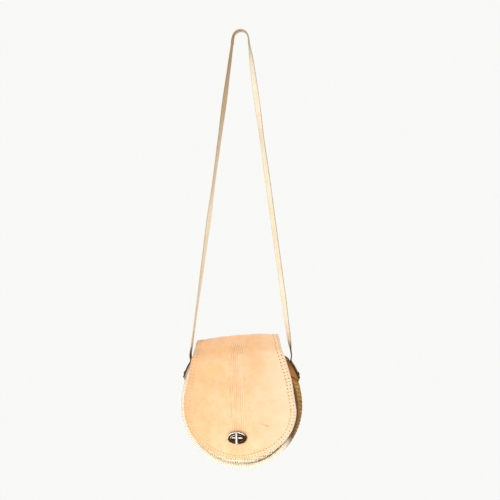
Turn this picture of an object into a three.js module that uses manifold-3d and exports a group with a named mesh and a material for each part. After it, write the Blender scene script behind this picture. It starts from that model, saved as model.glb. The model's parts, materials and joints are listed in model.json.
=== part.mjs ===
// Rattan crossbody bag: a round-bottomed saddle bag of woven rattan with a leather flap,
// a narrow shoulder strap and an oval turn lock, hanging by its strap.
//
// Millimetres. +Z is up, the flap faces -Y and +X is to the right of a person who faces the flap.
// The origin is the underside of the strap's arch, where a peg carries the bag.

import * as THREE from 'three';
import { mergeVertices } from 'three/addons/utils/BufferGeometryUtils.js';
import Module from 'manifold-3d';

const { degToRad, clamp, lerp } = THREE.MathUtils;

// ---------------------------------------------------------------- driving dimensions

const GAP = 0.3; // between pieces that lie on each other
const SPARE = 1; // how far a cutting tool or a joined piece runs past the face that it meets

// The body's outline from the front: half ellipses above and below its widest level.
const BODY = {
  halfWidth: 101,
  wideLevel: -651,
  shoulderRise: 118,
  bottomFall: 102.8,
  rimDepth: 28, // from the middle plane to the centre of each rim roll
  rimRadius: 5.25,
  panelLastAngle: degToRad(86), // how far round towards the bottom a panel's rows go
  swellPower: 4, // the higher, the more evenly a panel swells before it turns in to its rim
};

// The bag hangs a little turned, its right side up, about a point between the strap's ends.
const ROLL = { angle: degToRad(1.5), pivotHeight: -590 };

const WALL = { panel: 2.5, gusset: 2.5, tab: 1.6, flap: 2.4, strap: 2 };

// Top of each rim roll, the radius of its upper corners and how far its panel swells outwards.
const FRONT = { top: -566.5, corner: 12, swell: 12, facing: -1 };
const BACK = { top: -542.5, corner: 12, swell: 4, facing: 1 };

// The gusset's mouth edge is scooped: its height at the front, the middle and the back.
const GUSSET = {
  mouthFront: -573,
  mouthMiddle: -579.6,
  mouthBack: -572,
  edgeInset: 3, // its edges lie this far inside the body's outline
  bulge: 5, // and its middle this far outside
};

// The leather caps on the gusset's ends: height of the lower edge at the rims, and its tongue.
const TAB = { lowerEdge: -598, tongue: 15 };

const STRAP = {
  width: 10,
  pegRadius: 12.5,
  tailTop: -581.6,
  tailEnd: -609,
  tailShares: [0, 0.33, 0.66, 1],
  shoulderLift: 9, // the strap bends this far above the top of its tail
  shoulderInset: -0.8, // inwards by this much
  legShares: [0.02, 0.08, 0.18, 0.3, 0.42, 0.54, 0.66, 0.78, 0.88, 0.96],
  archDegrees: [-80, -55, -28, 0, 28, 55, 80],
  legStart: 82, // degrees round the arch where each straight leg starts
  rowsPerSpan: 3,
};

// How far the strap's inner face turns to the front on its way down, in degrees.
const STRAP_TURN = [
  { drop: 0, left: 0, right: 0 },
  { drop: 22, left: 6, right: 14 },
  { drop: 60, left: 17, right: 52 },
  { drop: 120, left: 34, right: 80 },
  { drop: 190, left: 19, right: 50 },
  { drop: 260, left: 11, right: 66 },
  { drop: 330, left: 31, right: 60 },
  { drop: 400, left: 18, right: 58 },
  { drop: 470, left: 4, right: 58 },
  { drop: 495, left: 1, right: 50 },
  { drop: 525, left: -1, right: 44 },
  { drop: 541, left: 0, right: 36 },
  { drop: 558, left: 0, right: 9 },
  { drop: 575, left: 0, right: 0 },
  { drop: 620, left: 0, right: 0 },
];

const RIVET = {
  height: -602,
  headRadius: 3.2,
  headRise: 1.5,
  shankRadius: 1.2,
  clearance: 0.35,
  burrRadius: 2.6,
  burrThickness: 1,
};

// The flap's outer face from its hem on the back panel, over the mouth and down the front.
// depth and height: its middle line. left and right: its half widths.
// fall: how far it falls away from the middle line at the sides. tilt: its slope to the right, degrees.
const FLAP_ROWS = [
  { depth: 36.9, height: -592, left: 60, right: 52, fall: 0, tilt: 0 },
  { depth: 37.1, height: -572, left: 68, right: 57, fall: 0, tilt: 0 },
  { depth: 37.1, height: -552, left: 74, right: 60, fall: 1, tilt: 1.2 },
  { depth: 33.4, height: -540, left: 79.5, right: 62, fall: 4.5, tilt: 2.8 },
  { depth: 24, height: -534.6, left: 83, right: 64.5, fall: 8, tilt: 4.1 },
  { depth: -5, height: -542, left: 79.5, right: 70.5, fall: 8, tilt: 3.8 },
  { depth: -28, height: -550, left: 77.5, right: 74.5, fall: 6, tilt: 4 },
  { depth: -39, height: -559, left: 78.5, right: 78, fall: 6.5, tilt: 3.8 },
  { depth: -44.2, height: -576, left: 80.6, right: 84, fall: 9, tilt: 2.2 },
  { depth: -49, height: -600, left: 84.5, right: 91, fall: 12, tilt: 0.8 },
  { depth: -51.6, height: -625, left: 90.3, right: 94.4, fall: 14, tilt: 0.2 },
  { depth: -52.5, height: -650, left: 93.4, right: 97.6, fall: 14.5, tilt: 0 },
];
const FLAP_FALL_SPAN = 96; // the half width at which fall is measured
const FLAP_TABLE_SHARE = 0.62; // of its length; the rest is the rounded tip
// Below its widest level the flap is a superellipse whose tip leans back a little.
const FLAP_TIP = { drop: 82, squareness: 2.05, lean: 12, lastAngle: 85 };

// The turn lock. The bar turns on the seat, in front of the frame.
const LOCK = {
  height: -693.6,
  frameWidth: 33,
  frameHeight: 20,
  frameThickness: 2.6,
  slotWidth: 21.4,
  slotHeight: 9,
  seatWidth: 19,
  seatHeight: 6.6,
  plateWidth: 30,
  plateHeight: 17,
  plateThickness: 2,
  barLength: 20,
  barWidth: 4.6,
  barThickness: 4.2,
  spindleRadius: 1.6,
  spindleLength: 6,
  boreClearance: 0.4,
  frameBevel: 0.8,
  plateBevel: 0.4,
  barBevel: 1.2,
};

// How many facets each kind of piece has, along and across or around it.
const FACETS = {
  panel: [16, 16],
  gusset: [44, 6],
  rim: [68, 8],
  tab: [5, 6],
  flap: [30, 14],
  plateCurve: 10,
  plateBevel: 2,
  rod: 16,
  rivet: 12,
};

const LOOKS = {
  rattan: { color: 0xd9ae72, roughness: 0.7, metalness: 0 },
  cane: { color: 0xf0d9a8, roughness: 0.55, metalness: 0 },
  leather: { color: 0xf6cf9c, roughness: 0.5, metalness: 0 },
  capLeather: { color: 0xb87c4a, roughness: 0.5, metalness: 0 },
  darkMetal: { color: 0x2c221c, roughness: 0.4, metalness: 1 },
  nickel: { color: 0x8b8580, roughness: 0.22, metalness: 1 },
};

// ---------------------------------------------------------------- solids

const wasm = await Module();
wasm.setup();

function toManifold(geometry) {
  const bare = geometry.clone();
  bare.deleteAttribute('normal');
  bare.deleteAttribute('uv');
  const merged = mergeVertices(bare);
  return new wasm.Manifold(new wasm.Mesh({
    numProp: 3,
    vertProperties: merged.attributes.position.array,
    triVerts: Uint32Array.from(merged.index.array),
  }));
}

function toGeometry(solid) {
  const { vertProperties, triVerts } = solid.getMesh();
  const geometry = new THREE.BufferGeometry();
  geometry.setAttribute('position', new THREE.BufferAttribute(vertProperties, 3));
  geometry.setIndex(new THREE.BufferAttribute(triVerts, 1));
  return geometry;
}

const cut = (geometry, ...tools) => toGeometry(
  tools.reduce((solid, tool) => solid.subtract(toManifold(tool)), toManifold(geometry)),
);

const join = (...geometries) => toGeometry(
  geometries.map(toManifold).reduce((whole, piece) => whole.add(piece)),
);

function signedVolume(points, triangles) {
  let volume = 0;
  for (let i = 0; i < triangles.length; i += 3) {
    const [a, b, c] = triangles.slice(i, i + 3).map((k) => points[k]);
    volume += a.dot(b.clone().cross(c)) / 6;
  }
  return volume;
}

// A closed body from points and quads, with every face turned to point outwards.
function closedBody(points, quads) {
  const triangles = quads.flatMap(([a, b, c, d]) => [a, b, c, a, c, d]);
  if (signedVolume(points, triangles) < 0) {
    triangles.reverse();
  }
  const geometry = new THREE.BufferGeometry().setFromPoints(points);
  geometry.setIndex(triangles);
  return geometry;
}

// A wall of sheet material: place(along, across, side) gives a point of its outer face at side 0
// and of its inner face at side 1. along runs from 0 to 1 and across from -1 to 1.
function sheetWall(rows, columns, place) {
  const points = [];
  for (const side of [0, 1]) {
    for (let i = 0; i <= rows; i += 1) {
      for (let j = 0; j <= columns; j += 1) {
        points.push(place(i / rows, 2 * (j / columns) - 1, side));
      }
    }
  }
  const at = (side, i, j) => (side * (rows + 1) + i) * (columns + 1) + j;
  const quads = [];
  for (let i = 0; i < rows; i += 1) {
    for (let j = 0; j < columns; j += 1) {
      quads.push([at(0, i, j), at(0, i, j + 1), at(0, i + 1, j + 1), at(0, i + 1, j)]);
      quads.push([at(1, i, j), at(1, i + 1, j), at(1, i + 1, j + 1), at(1, i, j + 1)]);
    }
    quads.push([at(0, i, 0), at(0, i + 1, 0), at(1, i + 1, 0), at(1, i, 0)]);
    quads.push([at(0, i, columns), at(1, i, columns), at(1, i + 1, columns), at(0, i + 1, columns)]);
  }
  for (let j = 0; j < columns; j += 1) {
    quads.push([at(0, 0, j), at(1, 0, j), at(1, 0, j + 1), at(0, 0, j + 1)]);
    quads.push([at(0, rows, j), at(0, rows, j + 1), at(1, rows, j + 1), at(1, rows, j)]);
  }
  return closedBody(points, quads);
}

// A round roll that follows a closed flat line of (x, z) points, at one depth.
function rollAlong(line, depth, radius, sides) {
  const count = line.length;
  const points = [];
  line.forEach((centre, i) => {
    const before = line[(i + count - 1) % count];
    const after = line[(i + 1) % count];
    const tangent = after.clone().sub(before).normalize();
    for (let k = 0; k < sides; k += 1) {
      const turn = (2 * Math.PI * k) / sides;
      const outwards = radius * Math.cos(turn);
      points.push(new THREE.Vector3(
        centre.x - tangent.y * outwards,
        depth + radius * Math.sin(turn),
        centre.y + tangent.x * outwards,
      ));
    }
  });
  const at = (i, k) => (i % count) * sides + (k % sides);
  const quads = [];
  for (let i = 0; i < count; i += 1) {
    for (let k = 0; k < sides; k += 1) {
      quads.push([at(i, k), at(i + 1, k), at(i + 1, k + 1), at(i, k + 1)]);
    }
  }
  return closedBody(points, quads);
}

// A flat plate of the given outline, bevelled all round, from depth `front` back to `back`.
// The outline's x and y become x and z, about the lock's centre.
function plateAcross(shape, front, back, bevel) {
  const geometry = new THREE.ExtrudeGeometry(shape, {
    depth: back - front - 2 * bevel,
    bevelEnabled: bevel > 0,
    bevelThickness: bevel,
    bevelSize: bevel,
    bevelOffset: -bevel,
    bevelSegments: FACETS.plateBevel,
    curveSegments: FACETS.plateCurve,
  });
  geometry.rotateX(Math.PI / 2);
  return geometry.translate(0, back - bevel, LOCK.height);
}

function ovalShape(width, height) {
  const shape = new THREE.Shape();
  shape.absellipse(0, 0, width / 2, height / 2, 0, 2 * Math.PI, false);
  return shape;
}

// An upright bar with half-round ends.
function barShape(width, height) {
  const radius = width / 2;
  const reach = height / 2 - radius;
  const shape = new THREE.Shape();
  shape.absarc(0, reach, radius, 0, Math.PI, false);
  shape.absarc(0, -reach, radius, Math.PI, 2 * Math.PI, false);
  return shape;
}

// One column of a table as a smooth curve through its rows; row may lie between two of them.
function columnAt(table, name, row) {
  const i = clamp(Math.floor(row), 0, table.length - 2);
  const t = row - i;
  const [before, a, b, after] = [i - 1, i, i + 1, i + 2].map(
    (k) => table[clamp(k, 0, table.length - 1)][name],
  );
  const leave = (b - before) / 2;
  const arrive = (after - a) / 2;
  return a + t * (leave + t * (3 * (b - a) - 2 * leave - arrive + t * (2 * (a - b) + leave + arrive)));
}

// ---------------------------------------------------------------- the body's outline

// A point of the outline, inset by a distance. The angle is 0 at the widest level on the right and
// goes on through -90 degrees at the bottom to the left side.
function bodyPoint(angle, inset, depth) {
  const rise = Math.sin(angle) > 0 ? BODY.shoulderRise : BODY.bottomFall;
  return new THREE.Vector3(
    (BODY.halfWidth - inset) * Math.cos(angle),
    depth,
    BODY.wideLevel + (rise - inset) * Math.sin(angle),
  );
}

const shoulderAngle = (height, inset) => Math.asin(
  (height - BODY.wideLevel) / (BODY.shoulderRise - inset),
);

function halfWidthAt(height, inset) {
  const rise = height > BODY.wideLevel ? BODY.shoulderRise : BODY.bottomFall;
  const level = (height - BODY.wideLevel) / (rise - inset);
  return (BODY.halfWidth - inset) * Math.sqrt(1 - level * level);
}

// ---------------------------------------------------------------- rattan pieces

function rim(face) {
  const inset = BODY.rimRadius;
  const top = face.top - inset;
  const lowerCorner = shoulderAngle(top - face.corner, inset);
  const side = bodyPoint(lowerCorner, inset, 0);
  const topCorner = halfWidthAt(top, inset);
  const path = new THREE.Path();
  path.moveTo(-topCorner + face.corner, top);
  path.lineTo(topCorner - face.corner, top);
  path.quadraticCurveTo(topCorner, top, side.x, side.z);
  const sweep = (rise, from, to) => path.absellipse(
    0, BODY.wideLevel, BODY.halfWidth - inset, rise - inset, from, to, true,
  );
  sweep(BODY.shoulderRise, lowerCorner, 0);
  sweep(BODY.bottomFall, 0, -Math.PI);
  sweep(BODY.shoulderRise, Math.PI, Math.PI - lowerCorner);
  path.quadraticCurveTo(-topCorner, top, -topCorner + face.corner, top);
  const [along, around] = FACETS.rim;
  const line = path.getSpacedPoints(along).slice(0, -1);
  return rollAlong(line, face.facing * BODY.rimDepth, BODY.rimRadius, around);
}

// A panel fills its rim and swells outwards in the middle.
function panel(face) {
  const inset = 2 * BODY.rimRadius + GAP;
  const top = face.top - inset;
  const bottomFall = BODY.bottomFall - inset;
  return sheetWall(...FACETS.panel, (along, across, side) => {
    const angle = lerp(shoulderAngle(top, inset), -BODY.panelLastAngle, along);
    const height = bodyPoint(angle, inset, 0).z;
    const level = height > BODY.wideLevel
      ? (height - BODY.wideLevel) / (top - BODY.wideLevel)
      : (BODY.wideLevel - height) / bottomFall;
    const swell = face.swell * (1 - level ** BODY.swellPower) * (1 - across ** BODY.swellPower);
    const out = BODY.rimDepth + WALL.panel / 2 + swell - side * WALL.panel;
    const intoCorner = Math.max(0, (height - top) / face.corner + 1);
    const cornerCut = face.corner * (1 - Math.sqrt(1 - intoCorner ** 2));
    return new THREE.Vector3(
      across * (halfWidthAt(height, inset) - cornerCut), face.facing * out, height,
    );
  });
}

const mouthHeight = (across) => {
  const meanRise = (GUSSET.mouthFront + GUSSET.mouthBack) / 2 - GUSSET.mouthMiddle;
  const slope = (GUSSET.mouthBack - GUSSET.mouthFront) / 2;
  return GUSSET.mouthMiddle + slope * across + meanRise * across * across;
};

// Inset of the gusset's outer face. across runs from -1 at the front rim to 1 at the back rim.
const gussetInset = (across) => (
  GUSSET.edgeInset - (GUSSET.edgeInset + GUSSET.bulge) * (1 - across * across)
);

const gussetDepth = (across) => across * (BODY.rimDepth - BODY.rimRadius - GAP);

function gusset() {
  return sheetWall(...FACETS.gusset, (along, across, side) => {
    const mouth = shoulderAngle(mouthHeight(across), GUSSET.edgeInset);
    const angle = lerp(mouth, -Math.PI - mouth, along);
    return bodyPoint(angle, gussetInset(across) + side * WALL.gusset, gussetDepth(across));
  });
}

// ---------------------------------------------------------------- leather pieces

// Mirrors a point to the bag's left side for hand -1.
const onSide = (point, hand) => point.setX(point.x * hand);

function sideTab(hand) {
  return sheetWall(...FACETS.tab, (along, across, side) => {
    const upper = shoulderAngle(mouthHeight(across), GUSSET.edgeInset);
    const lowerHeight = TAB.lowerEdge - TAB.tongue * (1 - across * across);
    const angle = lerp(upper, shoulderAngle(lowerHeight, GUSSET.edgeInset), along);
    const proud = GAP + (1 - side) * WALL.tab;
    return onSide(bodyPoint(angle, gussetInset(across) - proud, gussetDepth(across)), hand);
  });
}

// The middle of the strap where it lies on a side tab, at a height.
function strapOnTab(height) {
  const angle = shoulderAngle(height, 0);
  return bodyPoint(angle, gussetInset(0) - 3 * GAP - WALL.tab - WALL.strap / 2, 0);
}

// A point given for the hanging strap, in the bag's own turned frame.
function intoBag(point) {
  const pivot = new THREE.Vector3(0, 0, ROLL.pivotHeight);
  return point.sub(pivot).applyAxisAngle(new THREE.Vector3(0, 1, 0), ROLL.angle).add(pivot);
}

// The strap's middle line from its left tip, over the peg, to its right tip.
function strapLine() {
  const radius = STRAP.pegRadius + WALL.strap / 2;
  const arch = (degrees) => intoBag(new THREE.Vector3(
    radius * Math.sin(degToRad(degrees)),
    0,
    -STRAP.pegRadius + radius * Math.cos(degToRad(degrees)),
  ));
  const tail = (hand) => STRAP.tailShares.map(
    (share) => onSide(strapOnTab(lerp(STRAP.tailTop, STRAP.tailEnd, share)), hand),
  );
  const bend = new THREE.Vector3(-STRAP.shoulderInset, 0, STRAP.shoulderLift);
  const shoulder = (hand) => onSide(strapOnTab(STRAP.tailTop).add(bend), hand);
  const leg = (hand) => {
    const high = arch(hand * STRAP.legStart);
    const low = shoulder(hand);
    return STRAP.legShares.map((share) => high.clone().lerp(low, share));
  };
  return new THREE.CatmullRomCurve3([
    ...tail(-1).reverse(),
    shoulder(-1),
    ...leg(-1).reverse(),
    ...STRAP.archDegrees.map(arch),
    ...leg(1),
    shoulder(1),
    ...tail(1),
  ], false, 'centripetal');
}

function strap() {
  const line = strapLine();
  const depthAxis = new THREE.Vector3(0, 1, 0);
  const turnAt = (point) => {
    const drop = -point.z;
    const next = STRAP_TURN.findIndex((row) => row.drop >= drop);
    if (next < 1) {
      return 0;
    }
    const [above, below] = [STRAP_TURN[next - 1], STRAP_TURN[next]];
    const share = (drop - above.drop) / (below.drop - above.drop);
    const hand = point.x < 0 ? 'left' : 'right';
    return degToRad(lerp(above[hand], below[hand], share * share * (3 - 2 * share)));
  };
  const rows = STRAP.rowsPerSpan * (line.points.length - 1);
  return sheetWall(rows, 1, (along, across, side) => {
    const point = line.getPoint(along);
    const tangent = line.getTangent(along);
    const inwards = depthAxis.clone().cross(tangent).normalize();
    const turn = turnAt(point);
    const widthways = depthAxis.clone().multiplyScalar(Math.cos(turn))
      .addScaledVector(inwards, Math.sin(turn));
    const faceNormal = inwards.multiplyScalar(Math.cos(turn))
      .addScaledVector(depthAxis, -Math.sin(turn));
    return point
      .addScaledVector(widthways, (across * STRAP.width) / 2)
      .addScaledVector(faceNormal, (side - 0.5) * WALL.strap);
  });
}

// One section of the flap: a row of the table, or below its last row a section of the rounded tip.
function flapSection(along) {
  const lastRow = FLAP_ROWS.length - 1;
  const row = Math.min(along / FLAP_TABLE_SHARE, 1) * lastRow;
  const section = {};
  for (const name of Object.keys(FLAP_ROWS[0])) {
    section[name] = columnAt(FLAP_ROWS, name, row);
  }
  if (along > FLAP_TABLE_SHARE) {
    const tipShare = (along - FLAP_TABLE_SHARE) / (1 - FLAP_TABLE_SHARE);
    const angle = degToRad(FLAP_TIP.lastAngle) * tipShare;
    const shrink = Math.cos(angle) ** (2 / FLAP_TIP.squareness);
    section.height -= FLAP_TIP.drop * Math.sin(angle) ** (2 / FLAP_TIP.squareness);
    section.depth += FLAP_TIP.lean * (1 - Math.cos(angle)) ** 2;
    section.left *= shrink;
    section.right *= shrink;
  }
  return section;
}

function flapPoint(along, across, side) {
  const section = flapSection(along);
  const nearby = 0.004;
  const before = flapSection(Math.max(along - nearby, 0));
  const after = flapSection(Math.min(along + nearby, 1));
  const normal = new THREE.Vector3(0, after.height - before.height, before.depth - after.depth);
  normal.normalize();
  const x = across * (across < 0 ? section.left : section.right);
  const fall = section.fall * (x / FLAP_FALL_SPAN) ** 2;
  const slope = x * Math.tan(degToRad(section.tilt));
  return new THREE.Vector3(x, section.depth, section.height + slope)
    .addScaledVector(normal, -fall - side * WALL.flap);
}

// ---------------------------------------------------------------- metal pieces

// Depths of the turn lock's layers, from the panel out to the bar.
const lockDepth = (() => {
  const plateBack = -(BODY.rimDepth + WALL.panel / 2 + FRONT.swell + GAP);
  const flapFace = FLAP_ROWS[FLAP_ROWS.length - 1].depth;
  const frameBack = flapFace - GAP;
  const frameFront = frameBack - LOCK.frameThickness;
  const barBack = frameFront - 2 * GAP;
  return {
    plateBack,
    plateFront: plateBack - LOCK.plateThickness,
    frameBack,
    frameFront,
    seatFront: barBack + GAP,
    barBack,
    barFront: barBack - LOCK.barThickness,
  };
})();

function rodAcross(radius, front, back) {
  const rod = new THREE.CylinderGeometry(radius, radius, back - front, FACETS.rod);
  return rod.translate(0, (front + back) / 2, LOCK.height);
}

function lockFrame() {
  const { frameFront, frameBack } = lockDepth;
  const plate = plateAcross(
    ovalShape(LOCK.frameWidth, LOCK.frameHeight), frameFront, frameBack, LOCK.frameBevel,
  );
  const slot = plateAcross(
    ovalShape(LOCK.slotWidth, LOCK.slotHeight), frameFront - SPARE, frameBack + SPARE, 0,
  );
  return cut(plate, slot);
}

function lockBase() {
  const { plateFront, plateBack, seatFront, barBack } = lockDepth;
  const plate = plateAcross(
    ovalShape(LOCK.plateWidth, LOCK.plateHeight), plateFront, plateBack, LOCK.plateBevel,
  );
  const seat = plateAcross(
    ovalShape(LOCK.seatWidth, LOCK.seatHeight), seatFront, plateBack - SPARE, LOCK.plateBevel,
  );
  const boreBack = barBack + LOCK.spindleLength + 2 * GAP;
  const bore = rodAcross(LOCK.spindleRadius + LOCK.boreClearance, seatFront - SPARE, boreBack);
  return cut(join(plate, seat), bore);
}

function lockBar() {
  const { barFront, barBack } = lockDepth;
  const bar = plateAcross(
    barShape(LOCK.barWidth, LOCK.barLength), barFront, barBack, LOCK.barBevel,
  );
  const spindle = rodAcross(LOCK.spindleRadius, barBack - SPARE, barBack + LOCK.spindleLength);
  return join(bar, spindle);
}

// The flap's own slot, for the lock's seat.
const flapSlot = plateAcross(
  ovalShape(LOCK.slotWidth, LOCK.slotHeight), lockDepth.frameFront, lockDepth.plateFront, 0,
);

// Turns a shape made about +Z so that +Z points out of a side tab, and puts it at the rivet.
function atRivet(geometry, hand) {
  const seat = strapOnTab(RIVET.height);
  const along = strapOnTab(RIVET.height - 1).sub(seat).normalize();
  const outwards = new THREE.Vector3(-along.z, 0, along.x);
  geometry.applyQuaternion(
    new THREE.Quaternion().setFromUnitVectors(new THREE.Vector3(0, 0, 1), onSide(outwards, hand)),
  );
  onSide(seat, hand);
  return geometry.translate(seat.x, seat.y, seat.z);
}

// A domed head on the strap, a shank through strap, tab and gusset, and a burr inside.
function rivet(hand) {
  const face = WALL.strap / 2 + GAP;
  const burrFace = -(WALL.strap / 2 + WALL.tab + WALL.gusset + 6 * GAP);
  const burrBack = burrFace - RIVET.burrThickness;
  const profile = [
    [0, burrBack],
    [RIVET.burrRadius, burrBack],
    [RIVET.burrRadius, burrFace],
    [RIVET.shankRadius, burrFace],
    [RIVET.shankRadius, face],
    [RIVET.headRadius, face],
    [RIVET.headRadius, face + RIVET.headRise / 3],
    [RIVET.headRadius * 0.7, face + RIVET.headRise * 0.85],
    [0, face + RIVET.headRise],
  ].map(([radius, height]) => new THREE.Vector2(radius, height));
  const turned = new THREE.LatheGeometry(profile, FACETS.rivet);
  return atRivet(turned.rotateX(Math.PI / 2), hand);
}

function rivetHole(hand) {
  const radius = RIVET.shankRadius + RIVET.clearance;
  const length = 2 * STRAP.width;
  const hole = new THREE.CylinderGeometry(radius, radius, length, FACETS.rivet);
  return atRivet(hole.rotateX(Math.PI / 2), hand);
}

// ---------------------------------------------------------------- the assembly

const bag = new THREE.Group();
bag.position.z = ROLL.pivotHeight;
bag.rotation.y = -ROLL.angle;

function addPiece(name, geometry, look) {
  geometry.computeVertexNormals();
  const mesh = new THREE.Mesh(geometry, new THREE.MeshStandardMaterial(LOOKS[look]));
  mesh.name = name;
  mesh.position.z = -ROLL.pivotHeight;
  bag.add(mesh);
}

addPiece('front_panel', panel(FRONT), 'rattan');
addPiece('back_panel', panel(BACK), 'rattan');
addPiece('gusset', cut(gusset(), rivetHole(1), rivetHole(-1)), 'rattan');
addPiece('front_rim', rim(FRONT), 'cane');
addPiece('back_rim', rim(BACK), 'cane');
addPiece('flap', cut(sheetWall(...FACETS.flap, flapPoint), flapSlot), 'leather');
addPiece('strap', cut(strap(), rivetHole(1), rivetHole(-1)), 'leather');
for (const [side, hand] of [['left', -1], ['right', 1]]) {
  addPiece(`side_tab_${side}`, cut(sideTab(hand), rivetHole(hand)), 'capLeather');
  addPiece(`strap_rivet_${side}`, rivet(hand), 'darkMetal');
}
addPiece('lock_base', lockBase(), 'nickel');
addPiece('lock_frame', lockFrame(), 'nickel');
addPiece('lock_bar', lockBar(), 'nickel');

const whole = new THREE.Group();
whole.add(bag);

export default whole;
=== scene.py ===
"""Rattan crossbody bag, hanging by its strap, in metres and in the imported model's frame.

The body is woven and wrapped rattan. The flap, the strap and the side tabs are leather, and a turn lock
closes the flap. Z is up and the flap faces -Y. The bag's own pieces are worked out upright, and then they
are turned a little, as it hangs.
"""

import json
import math
from types import SimpleNamespace

import bmesh
import bpy
import numpy as np
from mathutils import Matrix, Vector, noise
from mathutils.kdtree import KDTree

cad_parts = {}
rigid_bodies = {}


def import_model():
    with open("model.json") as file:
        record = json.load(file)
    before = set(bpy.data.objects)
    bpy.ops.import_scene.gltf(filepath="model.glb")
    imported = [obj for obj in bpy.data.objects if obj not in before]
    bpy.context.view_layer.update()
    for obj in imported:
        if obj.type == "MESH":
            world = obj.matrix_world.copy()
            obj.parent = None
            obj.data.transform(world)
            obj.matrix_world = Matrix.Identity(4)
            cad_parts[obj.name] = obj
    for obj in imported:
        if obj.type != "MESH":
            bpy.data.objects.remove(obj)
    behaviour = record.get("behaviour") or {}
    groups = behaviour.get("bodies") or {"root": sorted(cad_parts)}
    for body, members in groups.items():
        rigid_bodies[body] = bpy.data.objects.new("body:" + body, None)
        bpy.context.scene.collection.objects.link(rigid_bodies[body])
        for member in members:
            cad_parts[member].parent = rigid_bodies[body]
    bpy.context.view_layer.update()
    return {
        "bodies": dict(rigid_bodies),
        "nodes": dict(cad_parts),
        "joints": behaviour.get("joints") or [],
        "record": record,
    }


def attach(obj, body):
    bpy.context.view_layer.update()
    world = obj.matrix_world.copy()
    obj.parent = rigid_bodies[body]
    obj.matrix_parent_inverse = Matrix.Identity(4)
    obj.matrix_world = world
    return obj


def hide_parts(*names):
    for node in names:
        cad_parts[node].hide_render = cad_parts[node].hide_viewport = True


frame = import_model()
MM = 0.001


def mm(first, second):
    return first * MM, second * MM


# ---------------------------------------------------------------- sizes

GAP = 0.3 * MM
BODY = SimpleNamespace(
    half_width=101 * MM,
    wide_level=-651 * MM,
    shoulder_rise=118 * MM,
    bottom_fall=102.8 * MM,
    rim_depth=28 * MM,
    rim_radius=5.25 * MM,
    panel_last_angle=math.radians(86),
    swell_power=4,
)
MIDDLE = (0, 0, BODY.wide_level)
ROLL = SimpleNamespace(angle=math.radians(1.5), pivot=-590 * MM)
WALL = SimpleNamespace(panel=2.5 * MM, gusset=2.5 * MM, tab=1.6 * MM, flap=2.4 * MM, strap=2 * MM)
FRONT = SimpleNamespace(top=-566.5 * MM, corner=12 * MM, swell=12 * MM, facing=-1)
BACK = SimpleNamespace(top=-542.5 * MM, corner=12 * MM, swell=4 * MM, facing=1)
GUSSET = SimpleNamespace(
    mouth_front=-573 * MM,
    mouth_middle=-579.6 * MM,
    mouth_back=-572 * MM,
    edge_inset=3 * MM,
    bulge=5 * MM,
)
RIM_STEPS = SimpleNamespace(corner=12, round=180)
TAB = SimpleNamespace(lower_edge=-598 * MM, tongue=15 * MM, rows=28, columns=37, rounding=0.4 * MM)
STRAP = SimpleNamespace(
    width=10 * MM,
    rounding=0.45 * MM,
    peg_radius=12.5 * MM,
    tail_top=-581.6 * MM,
    tail_end=-609 * MM,
    tail_points=4,
    shoulder_lift=9 * MM,
    shoulder_inset=-0.8 * MM,
    leg_shares=(0.02, 0.08, 0.18, 0.3, 0.42, 0.54, 0.66, 0.78, 0.88, 0.96),
    arch_degrees=(-80, -55, -28, 0, 28, 55, 80),
    leg_start=82,
    steps=14,
)
# How far the strap's inner face turns to the front on its way down: drop in mm, left and right in degrees.
STRAP_TURN = (
    (0, 0, 0),
    (22, 6, 14),
    (60, 17, 52),
    (120, 34, 80),
    (190, 19, 50),
    (260, 11, 66),
    (330, 31, 60),
    (400, 18, 58),
    (470, 4, 58),
    (495, 1, 50),
    (525, -1, 44),
    (541, 0, 36),
    (558, 0, 9),
    (575, 0, 0),
    (620, 0, 0),
)
RIVET = SimpleNamespace(
    height=-602 * MM,
    head_radius=3.2 * MM,
    head_rise=1.5 * MM,
    shank_radius=1.2 * MM,
    burr_radius=2.6 * MM,
    burr_thickness=1 * MM,
    dome_angle=math.radians(84),
    dome_steps=7,
    brim_share=0.2,
    sides=32,
)
# The flap from its hem on the back panel, over the mouth and down the front, all in mm and degrees:
# depth and height of its middle line, left and right half widths, fall at the sides, tilt to the right.
FLAP_ROWS = np.array((
    (36.9, -592, 60, 52, 0, 0),
    (37.1, -572, 68, 57, 0, 0),
    (37.1, -552, 74, 60, 1, 1.2),
    (33.4, -540, 79.5, 62, 4.5, 2.8),
    (24, -534.6, 83, 64.5, 8, 4.1),
    (-5, -542, 79.5, 70.5, 8, 3.8),
    (-28, -550, 77.5, 74.5, 6, 4),
    (-39, -559, 78.5, 78, 6.5, 3.8),
    (-44.2, -576, 80.6, 84, 9, 2.2),
    (-49, -600, 84.5, 91, 12, 0.8),
    (-51.6, -625, 90.3, 94.4, 14, 0.2),
    (-52.5, -650, 93.4, 97.6, 14.5, 0),
))
FLAP = SimpleNamespace(
    table_share=0.62,
    fall_span=96 * MM,
    tip_drop=82 * MM,
    squareness=2.05,
    lean=12 * MM,
    last_angle=math.radians(85),
    row_step=1.6 * MM,
    tip_rows=96,
    column_bands=(mm(0.6, 18), mm(2.6, 63), mm(1, 15)),
    edge_rounding=0.6 * MM,
)
# Where the flap turns down at the front, how much higher to the right, and how far its marks wander. The
# band above it is darkened partly as painted shade, and its crease as painted shade.
FOLD = SimpleNamespace(
    height=-557.5 * MM,
    slope=0.075,
    wander=12 * MM,
    band=mm(-3.5, 3.5),
    crease=mm(3, 0),
)
# The lines tooled down the flap's middle, at their upper and lower ends.
GROOVE = SimpleNamespace(
    count=8,
    top=-544 * MM,
    bottom=-686 * MM,
    middle=mm(0.2, 3.4),
    spread=mm(12.3, 10.6),
    depth=0.35 * MM,
    width=0.5 * MM,
    lead=0.05,
    sharpness=(14, 12),
)
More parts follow.
